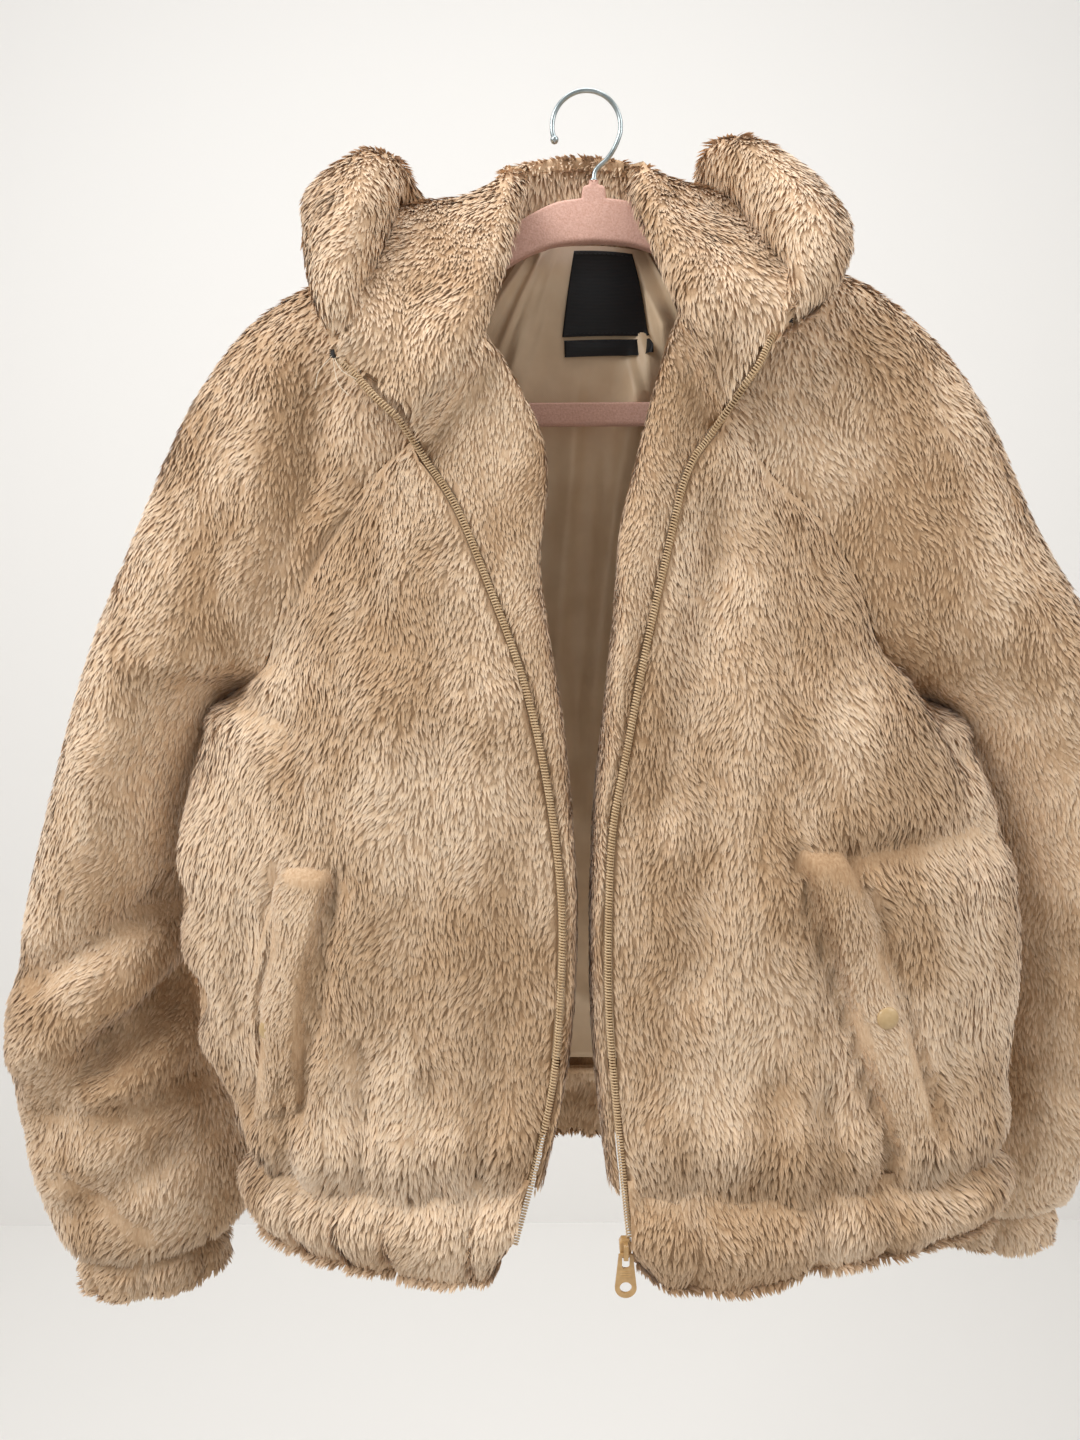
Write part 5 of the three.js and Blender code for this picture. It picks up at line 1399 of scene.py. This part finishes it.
# %% Snap caps
CAP_PROFILE = [[0.0, 2.4], [3.0, 2.25], [5.0, 1.8], [6.4, 1.1], [7.1, 0.3], [7.2, -0.4], [6.6, -0.8],
               [0.0, -0.8]]
CAP_SIDES = 48
pressed_cap, shader = new_material("pressed cap enamel", 0.35, Specular_IOR_Level=0.5, Coat_Weight=0.2)
place = add_node(pressed_cap, "ShaderNodeTexCoord").outputs["Object"]
cloud = add_node(pressed_cap, "ShaderNodeTexNoise", {"Vector": place, "Scale": 200.0, "Detail": 2.0})
tint(pressed_cap, shader, cloud, [(0.3, "#B99A6C"), (0.7, "#C9AC80")])
for side, (s, t) in SNAPS.items():
    centre, up = on_front(CUTS[side], patch(POCKETS[side], s, t))
    sunk = 6.4 if side == "right" else 3.6
    centre, up = centre.reshape(3), up.reshape(3)
    sideways = unit(np.cross(up, np.array([0.0, 0, 1.0])))
    over = np.cross(sideways, up)
    profile = spline(CAP_PROFILE, np.linspace(0, len(CAP_PROFILE) - 1, 29))
    angle = np.linspace(0, 2 * np.pi, CAP_SIDES + 1)[:-1]
    rings = (centre + up * (sunk + profile[:, None, 1:2]) + profile[:, None, 0:1]
             * (sideways * np.cos(angle)[:, None] + over * np.sin(angle)[:, None]))
    faces, _ = ring_faces(rings.shape[0], CAP_SIDES)
    piece = mesh_of(f"cap_{side}", rings.reshape(-1, 3), faces, np.zeros((0, 3), int))
    work = bmesh.new()
    work.from_mesh(piece.data)
    bmesh.ops.remove_doubles(work, verts=work.verts, dist=1e-6)
    bmesh.ops.recalc_face_normals(work, faces=work.faces)
    work.to_mesh(piece.data)
    work.free()
    piece.data.materials.append(pressed_cap)
    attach(piece, "garment")
    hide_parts(f"snap_{side}")
print("caps", [f"cap_{side}" for side in SNAPS], "with", CAP_SIDES, "sides")

# %% [markdown]
# ## Hanger and hook
# The hanger is a thin moulded body under short flock: an outline with a hole, given a thickness
# and a round bevel. A flat curve does that best, and is turned into a mesh. The hook is zinc
# plated wire with a dipped ball on its end, and a ferrule where it enters the stem.

# %% Hanger
ARM_TOP = [[7.5, -63], [8.5, -70], [30, -74], [58, -90], [70, -110], [90, -123.5], [140, -156], [190, -188],
           [212, -203], [218, -211], [214, -221], [204, -224]]
ARM_UNDER = [[0, -99], [30, -102], [60, -115], [95, -141], [140, -173], [176, -200], [182, -208]]
HANGER_X, STEM = 5, 3.2
flock, shader = new_material("pink flock", 0.95,
                             Sheen_Weight=0.6, Sheen_Roughness=0.4, Specular_IOR_Level=0.15)
shader.inputs["Sheen Tint"].default_value = linear("#F3D8CC")
place = add_node(flock, "ShaderNodeTexCoord").outputs["Object"]
fibres = add_node(flock, "ShaderNodeTexNoise", {"Vector": place, "Scale": 900.0, "Detail": 2.0})
worn = add_node(flock, "ShaderNodeTexNoise", {"Vector": place, "Scale": 45.0, "Detail": 3.0})
flock_tone = ramp(flock, fibres.outputs["Fac"], [(0.3, "#CFA291"), (0.7, "#E2BBAC")])
worn_tone = ramp(flock, fibres.outputs["Fac"], [(0.3, "#D2A493"), (0.7, "#E4BBAC")])
connect(flock, mixed(flock, worn.outputs["Fac"], flock_tone, worn_tone), shader.inputs["Base Color"])
fuzz = add_node(flock, "ShaderNodeBump", {"Height": fibres.outputs["Fac"],
                                          "Strength": 0.5, "Distance": 0.0006})
connect(flock, fuzz.outputs["Normal"], shader.inputs["Normal"])


def smooth_outline(rows, corners, count=6):
    """Catmull-Rom through the rows, in pieces between the listed corners so that those stay sharp."""
    pieces = []
    for a, b in zip(corners[:-1], corners[1:]):
        part = np.array(rows[a:b + 1], float)
        pieces.append(spline(part, np.linspace(0, len(part) - 1, (len(part) - 1) * count + 1))[:-1])
    return np.concatenate([*pieces, np.array(rows[-1:], float)])


def flat_body(name, outlines, thick, bevel, x):
    """A filled 2D curve with extrusion and bevel, made a mesh and stood up in x and z."""
    data = bpy.data.curves.new(name, "CURVE")
    data.dimensions, data.fill_mode = "2D", "BOTH"
    data.extrude, data.bevel_depth, data.bevel_resolution = (thick / 2 - bevel) / 1000, bevel / 1000, 4
    data.offset = -bevel / 1000
    for outline in outlines:
        line = data.splines.new("POLY")
        line.points.add(len(outline) - 1)
        flat = np.zeros((len(outline), 4))
        flat[:, 0], flat[:, 1], flat[:, 3] = outline[:, 0] / 1000, outline[:, 1] / 1000, 1
        line.points.foreach_set("co", flat.ravel())
        line.use_cyclic_u = True
    curve = bpy.data.objects.new(name + "_curve", data)
    scene_collection.objects.link(curve)
    mesh = bpy.data.meshes.new_from_object(curve)
    bpy.data.objects.remove(curve)
    co = np.empty(len(mesh.vertices) * 3)
    mesh.vertices.foreach_get("co", co)
    co = co.reshape(-1, 3)
    mesh.vertices.foreach_set("co", np.stack([co[:, 0] + x / 1000, -co[:, 2], co[:, 1]], axis=-1).ravel())
    mesh.update()
    work = bmesh.new()
    work.from_mesh(mesh)
    bmesh.ops.remove_doubles(work, verts=work.verts, dist=2e-5)
    bmesh.ops.recalc_face_normals(work, faces=work.faces)
    for edge in work.edges:
        edge.smooth = not edge.link_faces or edge.calc_face_angle(0) < 0.7
    work.to_mesh(mesh)
    work.free()
    mesh.polygons.foreach_set("use_smooth", np.ones(len(mesh.polygons), bool))
    piece = bpy.data.objects.new(name, mesh)
    scene_collection.objects.link(piece)
    return piece


right_top = smooth_outline([[STEM, -58], [STEM, -61], *ARM_TOP], [0, 1, 3, 13])
under_half = smooth_outline(ARM_UNDER, [0, 6])
outer = np.concatenate([right_top[::-1] * [-1, 1], right_top])
inner = np.concatenate([under_half[::-1] * [-1, 1], under_half[1:]])
hanger = flat_body("flocked_hanger", [outer, inner], 10, 2.4, HANGER_X)
hanger.data.materials.append(flock)
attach(hanger, "garment")
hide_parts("hanger")
print("hanger faces", len(hanger.data.polygons))

# %% [markdown]
# ## The hook
# Bent wire is a tube along a path: an arc, a slanting run and the stem. The ball is a tube along
# its own axis, whose radius follows the sine.

# %% Hook
zinc_wire, shader = new_material("zinc plated wire", 0.28, Metallic=1.0)
place = add_node(zinc_wire, "ShaderNodeTexCoord").outputs["Object"]
drawn = add_node(zinc_wire, "ShaderNodeTexNoise", {"Vector": place, "Scale": 160.0, "Detail": 4.0})
tint(zinc_wire, shader, drawn, [(0.3, "#9BA6A8"), (0.7, "#BAC3C4")])
dull = add_node(zinc_wire, "ShaderNodeMapRange", {"Value": drawn.outputs["Fac"],
                                                  "To Min": 0.22, "To Max": 0.42})
connect(zinc_wire, dull.outputs["Result"], shader.inputs["Roughness"])
BEND, BEND_Z, WIRE, BALL = 23.65, -22, 1.65, 2.85
angles = np.radians(np.linspace(201, -14, 19))
hook_rows = [[BEND * math.cos(a), 0, BEND_Z + BEND * math.sin(a)] for a in angles]
hook_rows += [[19.5, 0, -36], [14.2, 0, -43.5], [HANGER_X + 1.4, 0, -51], [HANGER_X, 0, -59.5]]
wire_path = spline(hook_rows, np.linspace(0, len(hook_rows) - 1, 160))
hook = mesh_of("wire_hook", *tube(wire_path, WIRE, 20))
ball_profile = np.linspace(0, np.pi, 25)
outward = unit(wire_path[0] - wire_path[3])
ball_path = point(0, 0, 0) + wire_path[0] + outward * (-BALL * np.cos(ball_profile))[:, None]
ball = mesh_of("hook_ball", *tube(ball_path, BALL * np.sin(ball_profile) + 0.01, 24))
ferrule_rows = np.array([[HANGER_X, 0, z] for z in (-56.2, -56.6, -57.4, -58.0, -59.4)])
ferrule = mesh_of("hook_ferrule", *tube(ferrule_rows, np.array([1.9, 2.5, 2.7, 2.6, 2.4]), 24))
for piece in (hook, ball, ferrule):
    piece.data.materials.append(zinc_wire)
    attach(piece, "garment")
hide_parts("hook")
print("hook length", round(float(np.linalg.norm(np.diff(wire_path, axis=0), axis=1).sum())), "mm")

# %% [markdown]
# ## Bar tacks and loose threads
# A bar tack, a dozen tight stitches in black, ends each zip at the collar. A few pale ends of
# sewing thread were left at the left one.

# %% Bar tacks
black_thread, shader = new_material("black thread", 0.55)
shader.inputs["Base Color"].default_value = linear("#1B1815")
pale_thread, shader = new_material("pale thread", 0.5, Sheen_Weight=0.2)
shader.inputs["Base Color"].default_value = linear("#E6D8C0")
for side, (path, _) in ZIPS.items():
    top = path[0] + np.array([0, -2.2, 2.0])
    lines = [np.stack([top + np.array([-2.6 + 0.9 * (k % 2), -0.5, -0.55 * k]),
                       top + np.array([0.0, -1.3, -0.55 * k - 0.2]),
                       top + np.array([2.8 - 0.9 * (k % 2), -0.5, -0.55 * k - 0.4])]) for k in range(9)]
    tack = joined(f"bar_tack_{side}", [tube(spline(line, np.linspace(0, 2, 9)), 0.42, 6) for line in lines])
    tack.data.materials.append(black_thread)
    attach(tack, "garment")
start = ZIPS["left"][0][0]
ends = [([-2, -4, -3], [-9, -7, -12], [-11, -8, -22]), ([1, -4, -4], [6, -9, -12], [15, -8, -17]),
        ([0, -4, -6], [3, -8, -19], [10, -9, -27])]
loose_paths = [start + np.array([[0, -2, 0], *line], float) for line in ends]
loose = joined("loose_threads", [tube(spline(rows, np.linspace(0, 3, 30)), 0.22, 5) for rows in loose_paths])
loose.data.materials.append(pale_thread)
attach(loose, "garment")
print("bar tacks 2, loose ends", len(ends))

# %% [markdown]
# ## Floor, backdrop and light
# A pale studio: a floor 2 m below the hook, a wall well behind, a big soft light above and to the
# left of the camera, a weaker one from the right and one straight above.

# %% Stage
def stage_plane(name, corners):
    """One big quad that belongs to the studio, not to the jacket."""
    plane = make_mesh(name, np.array(corners, float), [[0, 1, 2, 3]], smooth=False)
    plane.data.materials.append(studio_paper)
    return plane


FAR = 6000
studio_paper, shader = new_material("studio paper", 0.9)
shader.inputs["Base Color"].default_value = linear("#F1EFEC")
stage_plane("floor", [[-FAR, -FAR, -2000], [FAR, -FAR, -2000], [FAR, FAR, -2000], [-FAR, FAR, -2000]])
stage_plane("backdrop", [[-FAR, 1900, -2400], [FAR, 1900, -2400], [FAR, 1900, 4000], [-FAR, 1900, 4000]])


def soft_light(name, place, target, size, power):
    """An area light that looks at a point, in metres."""
    light = bpy.data.lights.new(name, "AREA")
    light.shape, light.size, light.energy = "SQUARE", size, power
    lamp = bpy.data.objects.new(name, light)
    scene_collection.objects.link(lamp)
    lamp.location = place
    lamp.rotation_euler = (Vector(target) - Vector(place)).to_track_quat("-Z", "Y").to_euler()
    return lamp


soft_light("key", (-1.7, -1.1, 1.1), (-0.1, 0, -0.3), 1.3, 46)
soft_light("fill", (1.8, -1.0, 0.9), (0.1, 0, -0.3), 1.5, 24)
soft_light("top", (0.0, 0.0, 1.6), (0, 0, -0.4), 1.4, 22)
world = bpy.data.worlds.new("studio")
world.use_nodes = True
world.node_tree.nodes["Background"].inputs["Color"].default_value = linear("#F5F4F2")
world.node_tree.nodes["Background"].inputs["Strength"].default_value = 0.5
bpy.context.scene.world = world
bpy.context.scene.view_settings.view_transform = "Standard"
print("lights", 3)

# %% [markdown]
# ## Finish
# The view layer is brought up to date, so that every piece stands where it was put.

# %% Finish
bpy.context.view_layer.update()
